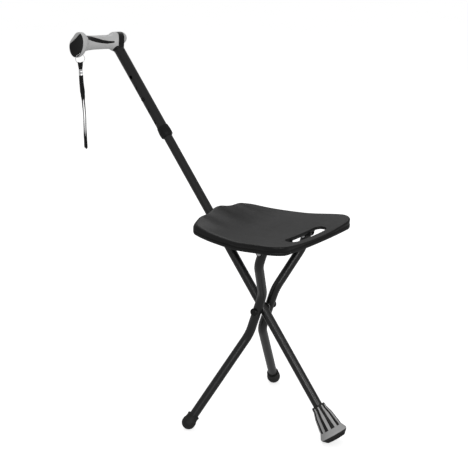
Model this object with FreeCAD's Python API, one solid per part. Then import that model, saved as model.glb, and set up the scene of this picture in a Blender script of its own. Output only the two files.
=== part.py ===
import FreeCAD, Part
import math
import os

# Walking stick that opens into a three-legged seat. All sizes are in millimetres.
# While it is built, the origin is on the ground below the hub rivet. X points to the
# front of the seat, Y to its left and Z up. At the end everything is moved so that the
# origin is at the middle of the footprint.

V = FreeCAD.Vector
os.makedirs("parts", exist_ok=True)

# Stance
hub_height = 244.4
shaft_tilt = 39.1
leg_tilt = 19.4
ground_press = 0.4
hub_at = 2.6

# Stick tubes
main_od = 19.0
main_wall = 1.5
main_top = 555.0
upper_od = 22.2
tube_gap = 0.3
upper_wall = 1.3
upper_bottom = 424.0
upper_top = 631.0
upper_ring_gap = 0.4

# Height holes and snap button
hole_pitch = 27.5
holes_each_way = 2
button_at = 508.0
button_r = 3.9
button_proud = 2.4
button_hole_gap = 0.35
button_inside = 3.2
button_travel = 3.9
spring_t = 0.6
spring_width = 8.0
spring_drop = 46.0
spring_gap = 0.4

# Lock collar and bushes
collar_r = 13.4
collar_length = 24.0
collar_below = 9.0
bush_wall_gap = 0.25
bush_length = 26.0
bush_lip = 3.0
top_bush_length = 18.0
plug_cap = 2.0

# Hub
rivet_r = 4.0
rivet_head_r = 8.5
rivet_head_h = 4.0
washer_r = 9.0
washer_t = 1.2
hub_gap = 0.3
running_gap = 0.05

# Legs
leg_od = 19.0
leg_wall = 1.5
leg_low_corner = -59.6
leg_high_corner = 42.0
leg_top_corner = 130.0
leg_top_y = 71.0
leg_low_slope = 33.2
leg_bend_r = 54.0
leg_top_bend_r = 45.0
seat_hinge_at = 164.5
leg_past_hinge = 5.5
leg_plug_cap = 2.5
leg_plug_length = 16.0

# Leg tips
tip_ball_r = 14.5
tip_neck_r = 12.2
tip_above_ball = 19.0
tip_floor = 7.0

# Stick tip
foot_r = 19.0
tread_r = 28.0
tread_t = 9.5
tread_nub_h = 1.6
tread_nubs = 24
band_low_r = 29.2
band_high_r = 24.3
band_h = 13.0
band_gap = 0.15
prong_w = 6.0
prong_t = 1.4
prong_top = 46.0
bell_top_r = 14.2
bell_h = 66.5
bell_neck_h = 9.0
bell_ribs = 10
bell_rib_t = 2.4
bell_rib_h = 1.8
tip_washer_t = 2.5

# Seat shell
seat_above_hub = 175.1
seat_centre_z = hub_height + seat_above_hub
seat_low = seat_centre_z - 49.5
seat_high = seat_centre_z + 50.5
seat_front_lift = 0.00056
seat_side_lift = 8.0
seat_side_lift_grow = 0.02
seat_half_ref = 120.0
rear_rise_from = -20.0
rear_rise_over = 105.0
rear_rise_power = 1.7
rear_lift = 15.5
rear_z = seat_centre_z + rear_lift
pommel_rise = 8.0
pommel_half = 26.0
hump_rise = 2.5
hump_y = 60.0
hump_half = 14.0
rear_drop = 8.0
rear_drop_from = 62.0
rear_drop_over = 36.0
rear_mid_x = -128.0
rear_corner = (-112.5, 95.5)
side_mid = (0.0, 118.5)
front_corner = (133.5, 130.0)
front_mid_x = 135.0
rear_corner_r = 26.0
front_corner_r = 34.0
seat_plate_t = 4.5
seat_wall = 3.2
skirt_depth = 18.0
skirt_front_depth = 12.0
skirt_front_half = 105.0
seat_edge_r = 3.5
rib_t = 2.5
rib_clear = 11.0
rib_inset = 2.0
rib_x = (-88.0, -30.0, 10.0, 76.0)
rib_y = (30.0, 100.0)

# Carry slot
slot_x = 98.5
slot_half_y = 58.0
slot_half_x = 11.0
slot_lip_t = 3.0
slot_lip_depth = 6.0

# Seat brackets
cheek_gap = 0.6
cheek_t = 4.0
cheek_r = 8.0
cheek_flare = 4.0
bracket_base_t = 3.0
bracket_half_x = 20.0
bracket_half_y = 21.0
seat_pin_r = 3.0
seat_pin_head_r = 5.5
seat_pin_head_t = 2.0
screw_r = 1.9
screw_head_r = 3.6
screw_head_t = 2.2
screw_bite = 3.0
screw_clear = 0.5
screw_y = 15.5
screw_x = cheek_r + cheek_flare + screw_head_r + screw_clear

# Rear catch
catch_at = 196.0
catch_pin_r = 4.0
catch_pin_cap_r = 6.0
catch_pin_cap_t = 2.0
catch_cheek_in = 12.0
catch_cheek_t = 5.0
catch_r = 8.0
catch_gap = 0.4
catch_mouth = 3.0
catch_base_t = 3.0
catch_front_x = -84.0
catch_tab = 18.0
catch_tab_x = 16.0
catch_room_gap = 1.0

# Handle
handle_above = 20.0
handle_at = upper_top + handle_above
handle_rise = 6.5
neck_near = 6.0
neck_far = -9.0
neck_wave = 7.5
neck_r = 20.5
neck_stem_r = 11.6
neck_plug_h = 18.0
neck_pin_r = 2.0
neck_socket_gap = 0.3
grip_end = 108.0
spindle_r = 4.0
inlay_t = 1.0
inlay_turn = 25.0
inlay_outline = (
    (14.0, 12.0), (28.0, 15.0), (44.0, 25.0), (58.0, 42.0), (70.0, 62.0), (84.0, 80.0),
    (86.0, 44.0), (87.5, 20.0), (84.0, 26.0), (75.0, 16.0), (64.0, 7.5), (50.0, -0.7),
    (33.0, -7.0), (14.0, -2.0),
)
cap_long = 27.4
cap_short = 21.8
cap_turn = 70.0
cap_shift = (4.8, -1.2)
cap_rim = 1.2
cap_flat = 0.27
cap_flat_width = 46.0
cap_land_turn = 127.1
cap_land_at = 11.6
cap_t = 5.0
insert_dish = 3.0
knob_end = -29.0
knob_r = 13.0

# Wrist strap
ring_r = 9.7
ring_wire_r = 0.8
ring_yaw = 25.0
ring_hole_r = 2.6
ring_hole_edge = 4.2
ring_hole_turn = -60.0
ring_hang = 1.3
lug_t = 3.5
ring_slot_gap = 0.8
strap_tube_r = 1.3
strap_yaw = 40.0
crimp_w = 7.6
crimp_h = 13.5
crimp_t = 5.0
tab_h = 14.0


def turned(angle):
    return FreeCAD.Rotation(V(0, 1, 0), angle)


base = V(0, 0, hub_height)
shaft_place = FreeCAD.Placement(base, turned(-shaft_tilt))
hub = shaft_place.multVec(V(0, 0, hub_at))
leg_place = FreeCAD.Placement(hub, turned(leg_tilt))
up_shaft = shaft_place.Rotation.multVec(V(0, 0, 1))
tilt_cos = math.cos(math.radians(shaft_tilt))
tilt_sin = math.sin(math.radians(shaft_tilt))
leg_cos = math.cos(math.radians(leg_tilt))
main_r = main_od / 2
leg_r = leg_od / 2
upper_r = upper_od / 2
upper_bore = main_r + tube_gap
hub_y = main_r + washer_t + hub_gap + leg_r
hinge = leg_place.multVec(V(0, 0, seat_hinge_at))
foot_at = (hub_height + ground_press - foot_r * tilt_sin) / tilt_cos


# Building blocks

def on(place, shape):
    moved = shape.copy()
    moved.Placement = place.multiply(shape.Placement)
    return moved


def mirrored(shape):
    return shape.mirror(V(0, 0, 0), V(0, 1, 0))


def joined(shapes):
    whole = shapes[0]
    for shape in shapes[1:]:
        whole = whole.fuse(shape)
    return whole.removeSplitter()


def rod(radius, start, direction, length):
    return Part.makeCylinder(radius, length, start, direction)


def cross_rod(radius, at, half):
    return rod(radius, V(at.x, -half, at.z), V(0, 1, 0), 2 * half)


def lathe(points):
    outline = Part.makePolygon([V(r, 0, z) for r, z in points + points[:1]])
    return Part.Face(outline).revolve(V(0, 0, 0), V(0, 0, 1), 360)


def slab(points, y_low, y_high):
    outline = Part.makePolygon([V(x, y_low, z) for x, z in points + points[:1]])
    return Part.Face(outline).extrude(V(0, y_high - y_low, 0))


def rounded_path(points, radii):
    edges = []
    start = points[0]
    for before, corner, after, radius in zip(points, points[1:], points[2:], radii):
        back = (before - corner).normalize()
        ahead = (after - corner).normalize()
        half_turn = (math.pi - back.getAngle(ahead)) / 2
        reach = radius * math.tan(half_turn)
        first = corner + back * reach
        last = corner + ahead * reach
        inward = (back + ahead).normalize()
        middle = corner + inward * (radius / math.cos(half_turn) - radius)
        edges.append(Part.LineSegment(start, first).toShape())
        edges.append(Part.Arc(first, middle, last).toShape())
        start = last
    edges.append(Part.LineSegment(start, points[-1]).toShape())
    return Part.Wire(edges)


def tube_along(points, radii, radius):
    path = rounded_path(points, radii)
    section = Part.Wire(Part.makeCircle(radius, points[0], points[1] - points[0]))
    return path.makePipeShell([section], True, False)


def single(shape):
    return max(shape.Solids, key=lambda solid: solid.Volume)


# Stick

def height_holes():
    steps = range(-holes_each_way, holes_each_way + 1)
    return [button_at + step * hole_pitch for step in steps]


def side_hole(at, radius, depth):
    return rod(radius, V(0, 0, at), V(0, -1, 0), depth)


def make_main_tube():
    bottom = bell_bottom() + tip_washer_t + 4.0
    length = main_top - bottom
    tube = Part.makeCylinder(main_r, length, V(0, 0, bottom))
    tube = tube.cut(Part.makeCylinder(main_r - main_wall, length, V(0, 0, bottom)))
    tube = tube.cut(cross_rod(rivet_r, V(0, 0, hub_at), main_r + 1))
    tube = tube.cut(cross_rod(catch_pin_r, V(0, 0, catch_at), main_r + 1))
    tube = tube.cut(side_hole(button_at, button_r + button_hole_gap, main_r + 1))
    return on(shaft_place, tube)


def make_top_bush():
    plug = Part.makeCylinder(main_r - main_wall, top_bush_length, V(0, 0, main_top - top_bush_length))
    cap = Part.makeCylinder(main_r, plug_cap, V(0, 0, main_top))
    cap = cap.makeFillet(plug_cap / 2, [cap.Edges[0]])
    bush = joined([plug, cap])
    bore = Part.makeCylinder(main_r - 2 * main_wall, top_bush_length, V(0, 0, main_top - top_bush_length - 4))
    return on(shaft_place, bush.cut(bore))


def make_upper_tube():
    length = upper_top - upper_bottom
    tube = Part.makeCylinder(upper_r, length, V(0, 0, upper_bottom))
    tube = tube.cut(Part.makeCylinder(upper_bore, length, V(0, 0, upper_bottom)))
    for at in height_holes():
        tube = tube.cut(side_hole(at, button_r + button_hole_gap, upper_r + 1))
    tube = tube.cut(rod(neck_pin_r, V(-upper_r - 1, 0, upper_top - neck_plug_h / 2), V(1, 0, 0), upper_od + 2))
    return on(shaft_place, tube)


def make_snap_button():
    outer = upper_r + button_proud
    inner = main_r - main_wall - button_inside
    shank = rod(button_r, V(0, -inner, button_at), V(0, -1, 0), outer - inner)
    shank = shank.makeFillet(1.4, [edge for edge in shank.Edges if edge.CenterOfMass.y < -outer + 0.01])
    flange = rod(button_r + 1.2, V(0, -inner, button_at), V(0, -1, 0), 1.2)
    return on(shaft_place, joined([shank, flange]))


def make_button_spring():
    inner = main_r - main_wall
    start = V(0, -inner + button_inside + spring_t / 2 + 0.2, button_at + 6)
    bend = V(0, -2.4, button_at - spring_drop)
    reach = math.sqrt(inner ** 2 - (spring_width / 2) ** 2) - spring_gap
    end = V(0, reach - spring_t / 2, button_at + 10)
    low = V(0, start.y, button_at - 8)
    strip = []
    for first, last in ((start, low), (low, bend), (bend, end)):
        along = (last - first).normalize()
        side = V(0, -along.z, along.y) * (spring_t / 2)
        grow = along * (spring_t / 2)
        corners = [first - grow + side, last + grow + side, last + grow - side, first - grow - side]
        face = Part.Face(Part.makePolygon(corners + corners[:1]))
        face.translate(V(-spring_width / 2, 0, 0))
        strip.append(face.extrude(V(spring_width, 0, 0)))
    return on(shaft_place, joined(strip))


def make_lock_collar():
    low = upper_bottom - collar_below
    high = low + collar_length
    bore = upper_r + upper_ring_gap
    points = [
        (main_r + 1.2, low), (collar_r - 1.6, low), (collar_r - 0.4, low + 2.0),
        (collar_r, low + 7.0), (collar_r, low + 13.0), (upper_r + 1.4, high - 2.0),
        (upper_r + 0.9, high), (bore, high), (bore, upper_bottom - upper_ring_gap),
        (main_r + 1.2, upper_bottom - upper_ring_gap),
    ]
    collar = lathe(points)
    grips = 18
    groove = Part.makeCylinder(1.0, 8.0, V(collar_r + 0.55, 0, low + 5.0))
    for i in range(grips):
        cut = groove.copy()
        cut.rotate(V(0, 0, 0), V(0, 0, 1), i * 360.0 / grips)
        collar = collar.cut(cut)
    return on(shaft_place, collar)


def make_collar_bush():
    low = upper_bottom - collar_below + 0.6
    inner = main_r + 0.06
    outer = main_r + 0.95
    lip = upper_bottom - 2 * upper_ring_gap
    ring = lathe([(inner, low), (outer, low), (outer, lip), (inner, lip)])
    return on(shaft_place, ring)


# Hub

def make_hub_rivet():
    reach = hub_y + leg_r
    pin = cross_rod(rivet_r, V(0, 0, hub_at), reach + 1.0)
    heads = []
    for side in (-1, 1):
        head = rod(rivet_head_r, V(0, side * (reach + hub_gap), hub_at), V(0, side, 0), rivet_head_h)
        rim = [e for e in head.Edges if abs(e.CenterOfMass.y) > reach + rivet_head_h - 0.5 and e.Closed]
        heads.append(head.makeFillet(rivet_head_h * 0.7, rim))
    return on(shaft_place, joined([pin] + heads))


def make_hub_washers():
    rings = []
    for side in (-1, 1):
        ring = rod(washer_r, V(0, side * main_r, hub_at), V(0, side, 0), washer_t)
        rings.append(ring.cut(cross_rod(rivet_r, V(0, 0, hub_at), main_r + washer_t + 1)))
    return Part.makeCompound([on(shaft_place, ring) for ring in rings])


# Legs

def leg_points():
    slope = math.tan(math.radians(leg_low_slope))
    ball_at = (tip_ball_r - ground_press - hub.z) / leg_cos
    ball = V(0, hub_y + slope * (leg_low_corner - ball_at), ball_at)
    low = V(0, hub_y, leg_low_corner)
    high = V(0, hub_y, leg_high_corner)
    top = V(0, leg_top_y, leg_top_corner)
    end = V(0, leg_top_y, seat_hinge_at + leg_past_hinge)
    return ball, low, high, top, end


def make_leg_tube(side):
    ball, low, high, top, end = leg_points()
    start = ball + (low - ball).normalize() * tip_floor
    points = [V(0, side * p.y, p.z) for p in (start, low, high, top, end)]
    radii = (leg_bend_r, leg_bend_r, leg_top_bend_r)
    tube = tube_along(points, radii, leg_r).cut(tube_along(points, radii, leg_r - leg_wall))
    tube = tube.cut(cross_rod(rivet_r + running_gap, V(0, 0, 0), hub_y + leg_od))
    tube = tube.cut(cross_rod(seat_pin_r + running_gap, V(0, 0, seat_hinge_at), leg_top_y + leg_od))
    return on(leg_place, single(tube))


def make_leg_plug(side):
    top = seat_hinge_at + leg_past_hinge
    middle = V(0, side * leg_top_y, top)
    plug = Part.makeCylinder(leg_r - leg_wall, leg_plug_length, middle - V(0, 0, leg_plug_length))
    cap = Part.makeCylinder(leg_r, leg_plug_cap, middle)
    cap = cap.makeFillet(leg_plug_cap * 0.7, [cap.Edges[0]])
    plug = joined([plug, cap])
    return on(leg_place, plug.cut(cross_rod(seat_pin_r + running_gap, V(0, 0, seat_hinge_at), 200)))


def make_leg_tip(side):
    ball, low = leg_points()[:2]
    axis = (low - ball).normalize()
    bore = leg_r
    body = lathe([
        (0, 0), (tip_ball_r, 0), (tip_ball_r - 0.2, 5.0), (tip_ball_r - 1.4, 7.5),
        (tip_neck_r + 0.4, 10.5), (tip_neck_r, tip_above_ball - 4), (tip_neck_r + 0.8, tip_above_ball - 3),
        (tip_neck_r + 0.8, tip_above_ball - 0.8), (tip_neck_r, tip_above_ball),
        (bore, tip_above_ball), (bore, tip_floor), (0, tip_floor),
    ])
    body = joined([body, Part.makeSphere(tip_ball_r, V(0, 0, 0), V(0, 0, 1), -90, 0, 360)])
    body.Placement = FreeCAD.Placement(ball, FreeCAD.Rotation(V(0, 0, 1), axis))
    body = on(leg_place, body)
    if side < 0:
        body = mirrored(body)
    return single(body.cut(Part.makeBox(1000, 1000, 50, V(-500, -500, -50))))


# Stick tip

def make_tip_tread():
    bottom = -foot_at
    disc = lathe([
        (0, bottom - 0.6), (foot_r - 6, bottom - 0.6), (foot_r, bottom), (tread_r, bottom + tread_t - 1.1),
        (tread_r, bottom + tread_t), (0, bottom + tread_t),
    ])
    notch = Part.makeBox(14.0, 2.6, 20.0, V(foot_r - 6.5, -1.3, -20.0))
    notch.rotate(V(foot_r, 0, 0), V(0, 1, 0), -45.0)
    notch.translate(V(0, 0, bottom + tread_nub_h))
    for i in range(tread_nubs):
        cut = notch.copy()
        cut.rotate(V(0, 0, 0), V(0, 0, 1), (i + 0.5) * 360.0 / tread_nubs)
        disc = disc.cut(cut)
    for radius in (6.0, 12.0):
        groove = Part.makeCylinder(radius + 1.2, 2.2, V(0, 0, bottom - 0.6))
        disc = disc.cut(groove.cut(Part.makeCylinder(radius - 1.2, 2.2, V(0, 0, bottom - 0.6))))
    disc = on(shaft_place, disc)
    return single(disc.cut(Part.makeBox(1000, 1000, 50, V(-500, -500, -50))))


def bell_bottom():
    return -foot_at + tread_t


def bell_profile():
    low = bell_bottom()
    base = low + band_h
    top = low + bell_h
    core = band_high_r - 3.4 - band_gap
    return [
        (0, low), (core, low), (core, base + band_gap), (band_high_r - 1.6, base + band_gap),
        (band_high_r - 2.6, base + 4), (bell_top_r + 3.0, top - bell_neck_h - 14),
        (bell_top_r - 0.8, top - bell_neck_h), (bell_top_r, top - bell_neck_h + 1),
        (bell_top_r, top - 1), (bell_top_r - 1, top), (0, top),
    ]


def bell_radius(height):
    base = bell_bottom() + band_h
    high = bell_bottom() + bell_h - bell_neck_h - 14
    share = (height - base - 4) / (high - base - 4)
    return band_high_r - 2.6 + (bell_top_r + 3.0 - band_high_r + 2.6) * share


def prong_angle(i):
    return (i + 0.5) * 360.0 / bell_ribs


def make_tip_band():
    low = bell_bottom()
    high = low + band_h
    inner = 3.4
    band = lathe([
        (band_high_r - inner, low), (band_low_r - 1.0, low), (band_low_r, low + 1.2),
        (band_low_r - 0.4, low + 4.0), (band_high_r, high), (band_high_r - inner, high),
    ])
    tip = low + prong_top
    foot = bell_radius(high)
    end = bell_radius(tip)
    prong = slab([
        (foot - 0.4, high - 1), (foot + prong_t, high - 1), (end + prong_t, tip - 1.5),
        (end + prong_t - 1, tip), (end - 0.4, tip),
    ], -prong_w / 2, prong_w / 2)
    core = lathe(bell_profile())
    prongs = []
    for i in range(bell_ribs):
        turned_prong = prong.copy()
        turned_prong.rotate(V(0, 0, 0), V(0, 0, 1), prong_angle(i))
        prongs.append(turned_prong.cut(core))
    return on(shaft_place, single(joined([band] + prongs)))


def make_tip_bell():
    low = bell_bottom()
    base = low + band_h
    top = low + bell_h
    ribs = []
    shoulder = top - bell_neck_h - 14
    rib = slab([
        (bell_top_r - 3, top - bell_neck_h), (bell_top_r + bell_rib_h - 1.2, top - bell_neck_h),
        (bell_top_r + 3.2 + bell_rib_h, shoulder), (band_high_r - 1.0, base + 5),
        (band_high_r - 0.8, base + band_gap), (bell_top_r - 3, base + band_gap),
    ], -bell_rib_t / 2, bell_rib_t / 2)
    for i in range(bell_ribs):
        turned_rib = rib.copy()
        turned_rib.rotate(V(0, 0, 0), V(0, 0, 1), i * 360.0 / bell_ribs)
        ribs.append(turned_rib)
    body = joined([lathe(bell_profile())] + ribs)
    body = body.cut(Part.makeCylinder(main_r, bell_h, V(0, 0, low + 4.0)))
    return on(shaft_place, single(body))


def make_tip_washer():
    low = bell_bottom() + 4.0
    return on(shaft_place, Part.makeCylinder(main_r - 0.4, tip_washer_t, V(0, 0, low)))


# Seat

def seat_top(x, y):
    far = abs(y)
    side = (seat_side_lift + seat_side_lift_grow * x) * (far / seat_half_ref) ** 2
    front = seat_centre_z + seat_front_lift * x * x + side
    drop = max(0.0, (far - rear_drop_from) / rear_drop_over) ** 1.5
    rear = rear_z + pommel_rise * math.exp(-((far / pommel_half) ** 2))
    rear += hump_rise * math.exp(-(((far - hump_y) / hump_half) ** 2)) - rear_drop * drop
    share = min(1.0, max(0.0, (rear_rise_from - x) / rear_rise_over)) ** rear_rise_power
    return front * (1 - share) + rear * share


def skirt_at(x, y):
    share = min(1.0, max(0.0, (x - 40.0) / 80.0))
    share *= max(0.0, 1 - (y / skirt_front_half) ** 2)
    return skirt_depth + (skirt_front_depth - skirt_depth) * share


def block_below(height):
    step_x = 12.0
    step_y = 12.0
    count_x = 26
    count_y = 13
    rows = []
    for i in range(count_x):
        x = -152.0 + i * step_x
        rows.append([V(x, j * step_y, height(x, j * step_y)) for j in range(-count_y, count_y + 1)])
    surface = Part.BSplineSurface()
    surface.interpolate(rows)
    return surface.toShape().extrude(V(0, 0, -200))


def disc_inside(points, inset, low, high):
    arc = Part.Arc(*points).toShape().Curve
    return Part.makeCylinder(arc.Radius - inset, high - low, V(arc.Center.x, arc.Center.y, low))


def seat_prism(inset):
    rear_x, rear_y = rear_corner
    front_x, front_y = front_corner
    side_x, side_y = side_mid
    sides = (
        (V(rear_x, -rear_y, 0), V(rear_mid_x, 0, 0), V(rear_x, rear_y, 0)),
        (V(rear_x, rear_y, 0), V(side_x, side_y, 0), V(front_x, front_y, 0)),
        (V(front_x, -front_y, 0), V(front_mid_x, 0, 0), V(front_x, front_y, 0)),
        (V(front_x, -front_y, 0), V(side_x, -side_y, 0), V(rear_x, -rear_y, 0)),
    )
    prism = disc_inside(sides[0], inset, seat_low, seat_high)
    for points in sides[1:]:
        prism = prism.common(disc_inside(points, inset, seat_low, seat_high))
    rear = [e for e in prism.Edges if e.BoundBox.ZLength > 90 and e.CenterOfMass.x < -50]
    prism = prism.makeFillet(rear_corner_r - inset, [e for e in rear if abs(e.CenterOfMass.y) > 50])
    front = [e for e in prism.Edges if e.BoundBox.ZLength > 90 and e.CenterOfMass.x > 90]
    return prism.makeFillet(front_corner_r - inset, [e for e in front if abs(e.CenterOfMass.y) > 100])


def slot_prism(grow):
    base = slot_wire(grow)
    base.translate(V(0, 0, seat_low))
    return Part.Face(base).extrude(V(0, 0, seat_high - seat_low))


def slot_wire(grow):
    half_x = slot_half_x + grow
    half_y = slot_half_y + grow
    straight = half_y - half_x
    corners = [V(slot_x + sx * half_x, sy * straight, 0) for sx, sy in ((-1, -1), (-1, 1), (1, 1), (1, -1))]
    edges = [
        Part.LineSegment(corners[0], corners[1]).toShape(),
        Part.Arc(corners[1], V(slot_x, half_y, 0), corners[2]).toShape(),
        Part.LineSegment(corners[2], corners[3]).toShape(),
        Part.Arc(corners[3], V(slot_x, -half_y, 0), corners[0]).toShape(),
    ]
    return Part.Wire(edges)


def make_seat_shell(below_top, below_plate, inside):
    rim = block_below(lambda x, y: seat_top(x, y) - skirt_at(x, y))
    outer = seat_prism(0.0).common(below_top)
    edge = [e for e in outer.Edges if e.CenterOfMass.z > seat_low + 25 and on_top_edge(e)]
    outer = outer.makeFillet(seat_edge_r, edge)
    outer = outer.cut(rim)
    lip = slot_prism(slot_lip_t).common(below_top)
    lip = lip.cut(block_below(lambda x, y: seat_top(x, y) - slot_lip_depth))
    shell = single(outer.cut(inside.common(below_plate)))
    ribs = []
    rib_floor = hinge.z + rib_clear
    for x in rib_x:
        ribs.append(Part.makeBox(rib_t, 280, 60, V(x - rib_t / 2, -140, rib_floor)))
    for y in rib_y:
        for side in (-1, 1):
            ribs.append(Part.makeBox(300, rib_t, 60, V(-150, side * y - rib_t / 2, rib_floor)))
    keep_out = bracket_blank(0.0)
    lattice = joined(ribs).common(inside).common(below_plate)
    lattice = lattice.cut(block_below(lambda x, y: seat_top(x, y) - skirt_at(x, y) + rib_inset))
    for side in (-1, 1):
        lattice = lattice.cut(keep_out if side > 0 else mirrored(keep_out))
    lattice = lattice.cut(catch_room())
    shell = shell.fuse(lattice).fuse(lip).removeSplitter()
    shell = single(shell.cut(slot_prism(0)))
    for place in screw_places():
        shell = shell.cut(rod(screw_r, V(place.x, place.y, place.z - 20), V(0, 0, 1), 20 + screw_bite))
    return shell


def on_top_edge(edge):
    points = edge.discretize(5)
    return all(abs(p.z - seat_top(p.x, p.y)) < 0.05 for p in points)


def bracket_blank(gap):
    half_x = bracket_half_x + gap
    half_y = bracket_half_y + gap
    return Part.makeBox(2 * half_x, 2 * half_y, 60, V(hinge.x - half_x, leg_top_y - half_y, bracket_floor()))


def bracket_floor():
    return seat_top(hinge.x, leg_top_y) - seat_plate_t - bracket_base_t - 2.0


def make_seat_bracket(side, below_plate):
    base = bracket_blank(0.0)
    parts = [base]
    for inner in (leg_r + cheek_gap, -leg_r - cheek_gap - cheek_t):
        y = leg_top_y + inner
        round_end = rod(cheek_r, V(hinge.x, y, hinge.z), V(0, 1, 0), cheek_t)
        body = slab([
            (hinge.x - cheek_r - cheek_flare, base.BoundBox.ZMin + 1), (hinge.x - cheek_r, hinge.z),
            (hinge.x + cheek_r, hinge.z), (hinge.x + cheek_r + cheek_flare, base.BoundBox.ZMin + 1),
        ], y, y + cheek_t)
        parts += [round_end, body]
    bracket = joined(parts)
    bracket = bracket.cut(rod(seat_pin_r, V(hinge.x, leg_top_y - 30, hinge.z), V(0, 1, 0), 60))
    bracket = single(bracket.common(below_plate))
    for place in screw_places():
        bracket = bracket.cut(rod(screw_r, V(place.x, abs(place.y), seat_low), V(0, 0, 1), 100))
    return bracket if side > 0 else mirrored(bracket)


def make_seat_pin(side):
    half = leg_r + cheek_gap + cheek_t
    pin = rod(seat_pin_r, V(hinge.x, leg_top_y - half, hinge.z), V(0, 1, 0), 2 * half)
    heads = []
    for way in (-1, 1):
        start = V(hinge.x, leg_top_y + way * half, hinge.z)
        head = rod(seat_pin_head_r, start, V(0, way, 0), seat_pin_head_t)
        rim = [e for e in head.Edges if e.Closed and abs(e.CenterOfMass.y - start.y) > seat_pin_head_t / 2]
        heads.append(head.makeFillet(seat_pin_head_t * 0.6, rim))
    pin = joined([pin] + heads)
    return pin if side > 0 else mirrored(pin)


def screw_places():
    places = []
    for side in (-1, 1):
        for dx in (-screw_x, screw_x):
            for dy in (-screw_y, screw_y):
                y = leg_top_y + dy
                x = hinge.x + dx
                places.append(V(x, side * y, seat_top(x, y) - seat_plate_t))
        x, y = catch_screw()
        places.append(V(x, side * y, seat_top(x, y) - seat_plate_t))
    return places


def make_seat_screws():
    screws = []
    for place in screw_places():
        under = bracket_floor() if place.x > 0 else catch_floor()
        head = rod(screw_head_r, V(place.x, place.y, under - screw_head_t), V(0, 0, 1), screw_head_t)
        head = head.makeFillet(1.2, [e for e in head.Edges if e.Closed and e.CenterOfMass.z < under - 1])
        shank = rod(screw_r - 0.05, V(place.x, place.y, under), V(0, 0, 1), place.z - under + screw_bite - 0.3)
        screws.append(joined([head, shank]))
    return Part.makeCompound(screws)


# Rear catch

def catch_point():
    return shaft_place.multVec(V(0, 0, catch_at))


def catch_screw():
    return catch_front_x - catch_tab_x / 2, catch_cheek_in + catch_cheek_t + catch_tab / 2


def catch_floor():
    return seat_top(catch_front_x, 0) - seat_plate_t - catch_base_t - 1.0


def catch_room():
    half = catch_cheek_in + catch_cheek_t + catch_tab + catch_room_gap
    low = catch_floor()
    return Part.makeBox(catch_front_x - rear_mid_x + 4, 2 * half, 60, V(rear_mid_x + 2, -half, low - 40))


def make_seat_catch(below_plate, inside):
    centre = catch_point()
    floor = catch_floor()
    outer = catch_cheek_in + catch_cheek_t
    parts = []
    for side in (-1, 1):
        y_low = side * outer if side < 0 else catch_cheek_in
        body = slab([
            (centre.x - 1, floor + 30), (catch_front_x, floor + 30), (catch_front_x, floor),
            (centre.x + catch_r * 0.8, centre.z - catch_r * 0.6), (centre.x - catch_r, centre.z),
        ], y_low, y_low + catch_cheek_t)
        ring = rod(catch_r, V(centre.x, y_low, centre.z), V(0, 1, 0), catch_cheek_t)
        parts += [body, ring]
        tab_y = outer if side > 0 else -outer - catch_tab
        tab = Part.makeBox(catch_tab_x, catch_tab, 40, V(catch_front_x - catch_tab_x, tab_y, floor))
        parts.append(tab)
    parts.append(Part.makeBox(8, 2 * outer, 40, V(catch_front_x - 8, -outer, floor)))
    catch = joined(parts)
    notch_half = catch_pin_r + catch_gap
    length = 3 * catch_r
    notch = Part.Face(Part.makePolygon([
        V(-notch_half, -40, 0), V(notch_half, -40, 0), V(notch_half + catch_mouth, -40, -length),
        V(-notch_half - catch_mouth, -40, -length), V(-notch_half, -40, 0),
    ])).extrude(V(0, 80, 0))
    notch = joined([notch, rod(notch_half, V(0, -40, 0), V(0, 1, 0), 80)])
    notch.Placement = FreeCAD.Placement(centre, turned(-shaft_tilt))
    catch = catch.cut(notch).common(below_plate).common(inside_or_below(inside))
    for place in screw_places():
        if place.x < 0:
            catch = catch.cut(rod(screw_r, V(place.x, place.y, seat_low), V(0, 0, 1), 100))
    return single(catch)


def inside_or_below(inside):
    rim = min(seat_top(rear_mid_x, y) for y in (0, catch_cheek_in + catch_cheek_t)) - skirt_depth
    under = Part.makeBox(300, 300, 100, V(-200, -150, rim - 100.5))
    return inside.fuse(under)


def make_catch_pin():
    half = catch_cheek_in + catch_cheek_t + 1.0
    pin = cross_rod(catch_pin_r, V(0, 0, catch_at), half)
    caps = []
    for side in (-1, 1):
        cap = rod(catch_pin_cap_r, V(0, side * half, catch_at), V(0, side, 0), catch_pin_cap_t)
        rim = [e for e in cap.Edges if e.Closed and abs(e.CenterOfMass.y) > half + catch_pin_cap_t / 2]
        caps.append(cap.makeFillet(catch_pin_cap_t * 0.5, rim))
    return on(shaft_place, joined([pin] + caps))


# Handle

def handle_frame():
    start = shaft_place.multVec(V(0, 0, handle_at))
    rise = math.radians(handle_rise)
    along = V(0, -1, 0) * math.cos(rise) + up_shaft * math.sin(rise)
    across = V(1, 0, 0) - along * along.x
    across.normalize()
    turn = FreeCAD.Rotation(across, along.cross(across), along, "ZXY")
    return FreeCAD.Placement(start, turn)


handle_place = handle_frame()


def oval(at, long, short, share):
    turn = math.radians(cap_turn) * share
    points = []
    count = 24
    for i in range(count):
        angle = 2 * math.pi * i / count
        a = long * math.cos(angle)
        b = short * math.sin(angle)
        x = a * math.cos(turn) - b * math.sin(turn)
        y = a * math.sin(turn) + b * math.cos(turn)
        off = math.degrees(math.atan2(y, x)) - cap_land_turn
        off = (off + 180) % 360 - 180
        keep = 1 - cap_flat * share * math.exp(-((off / cap_flat_width) ** 2))
        points.append(V(x * keep + cap_shift[0] * share, y * keep + cap_shift[1] * share, at))
    curve = Part.BSplineCurve()
    curve.interpolate(points, PeriodicFlag=True)
    return Part.Wire(curve.toShape())


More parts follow.
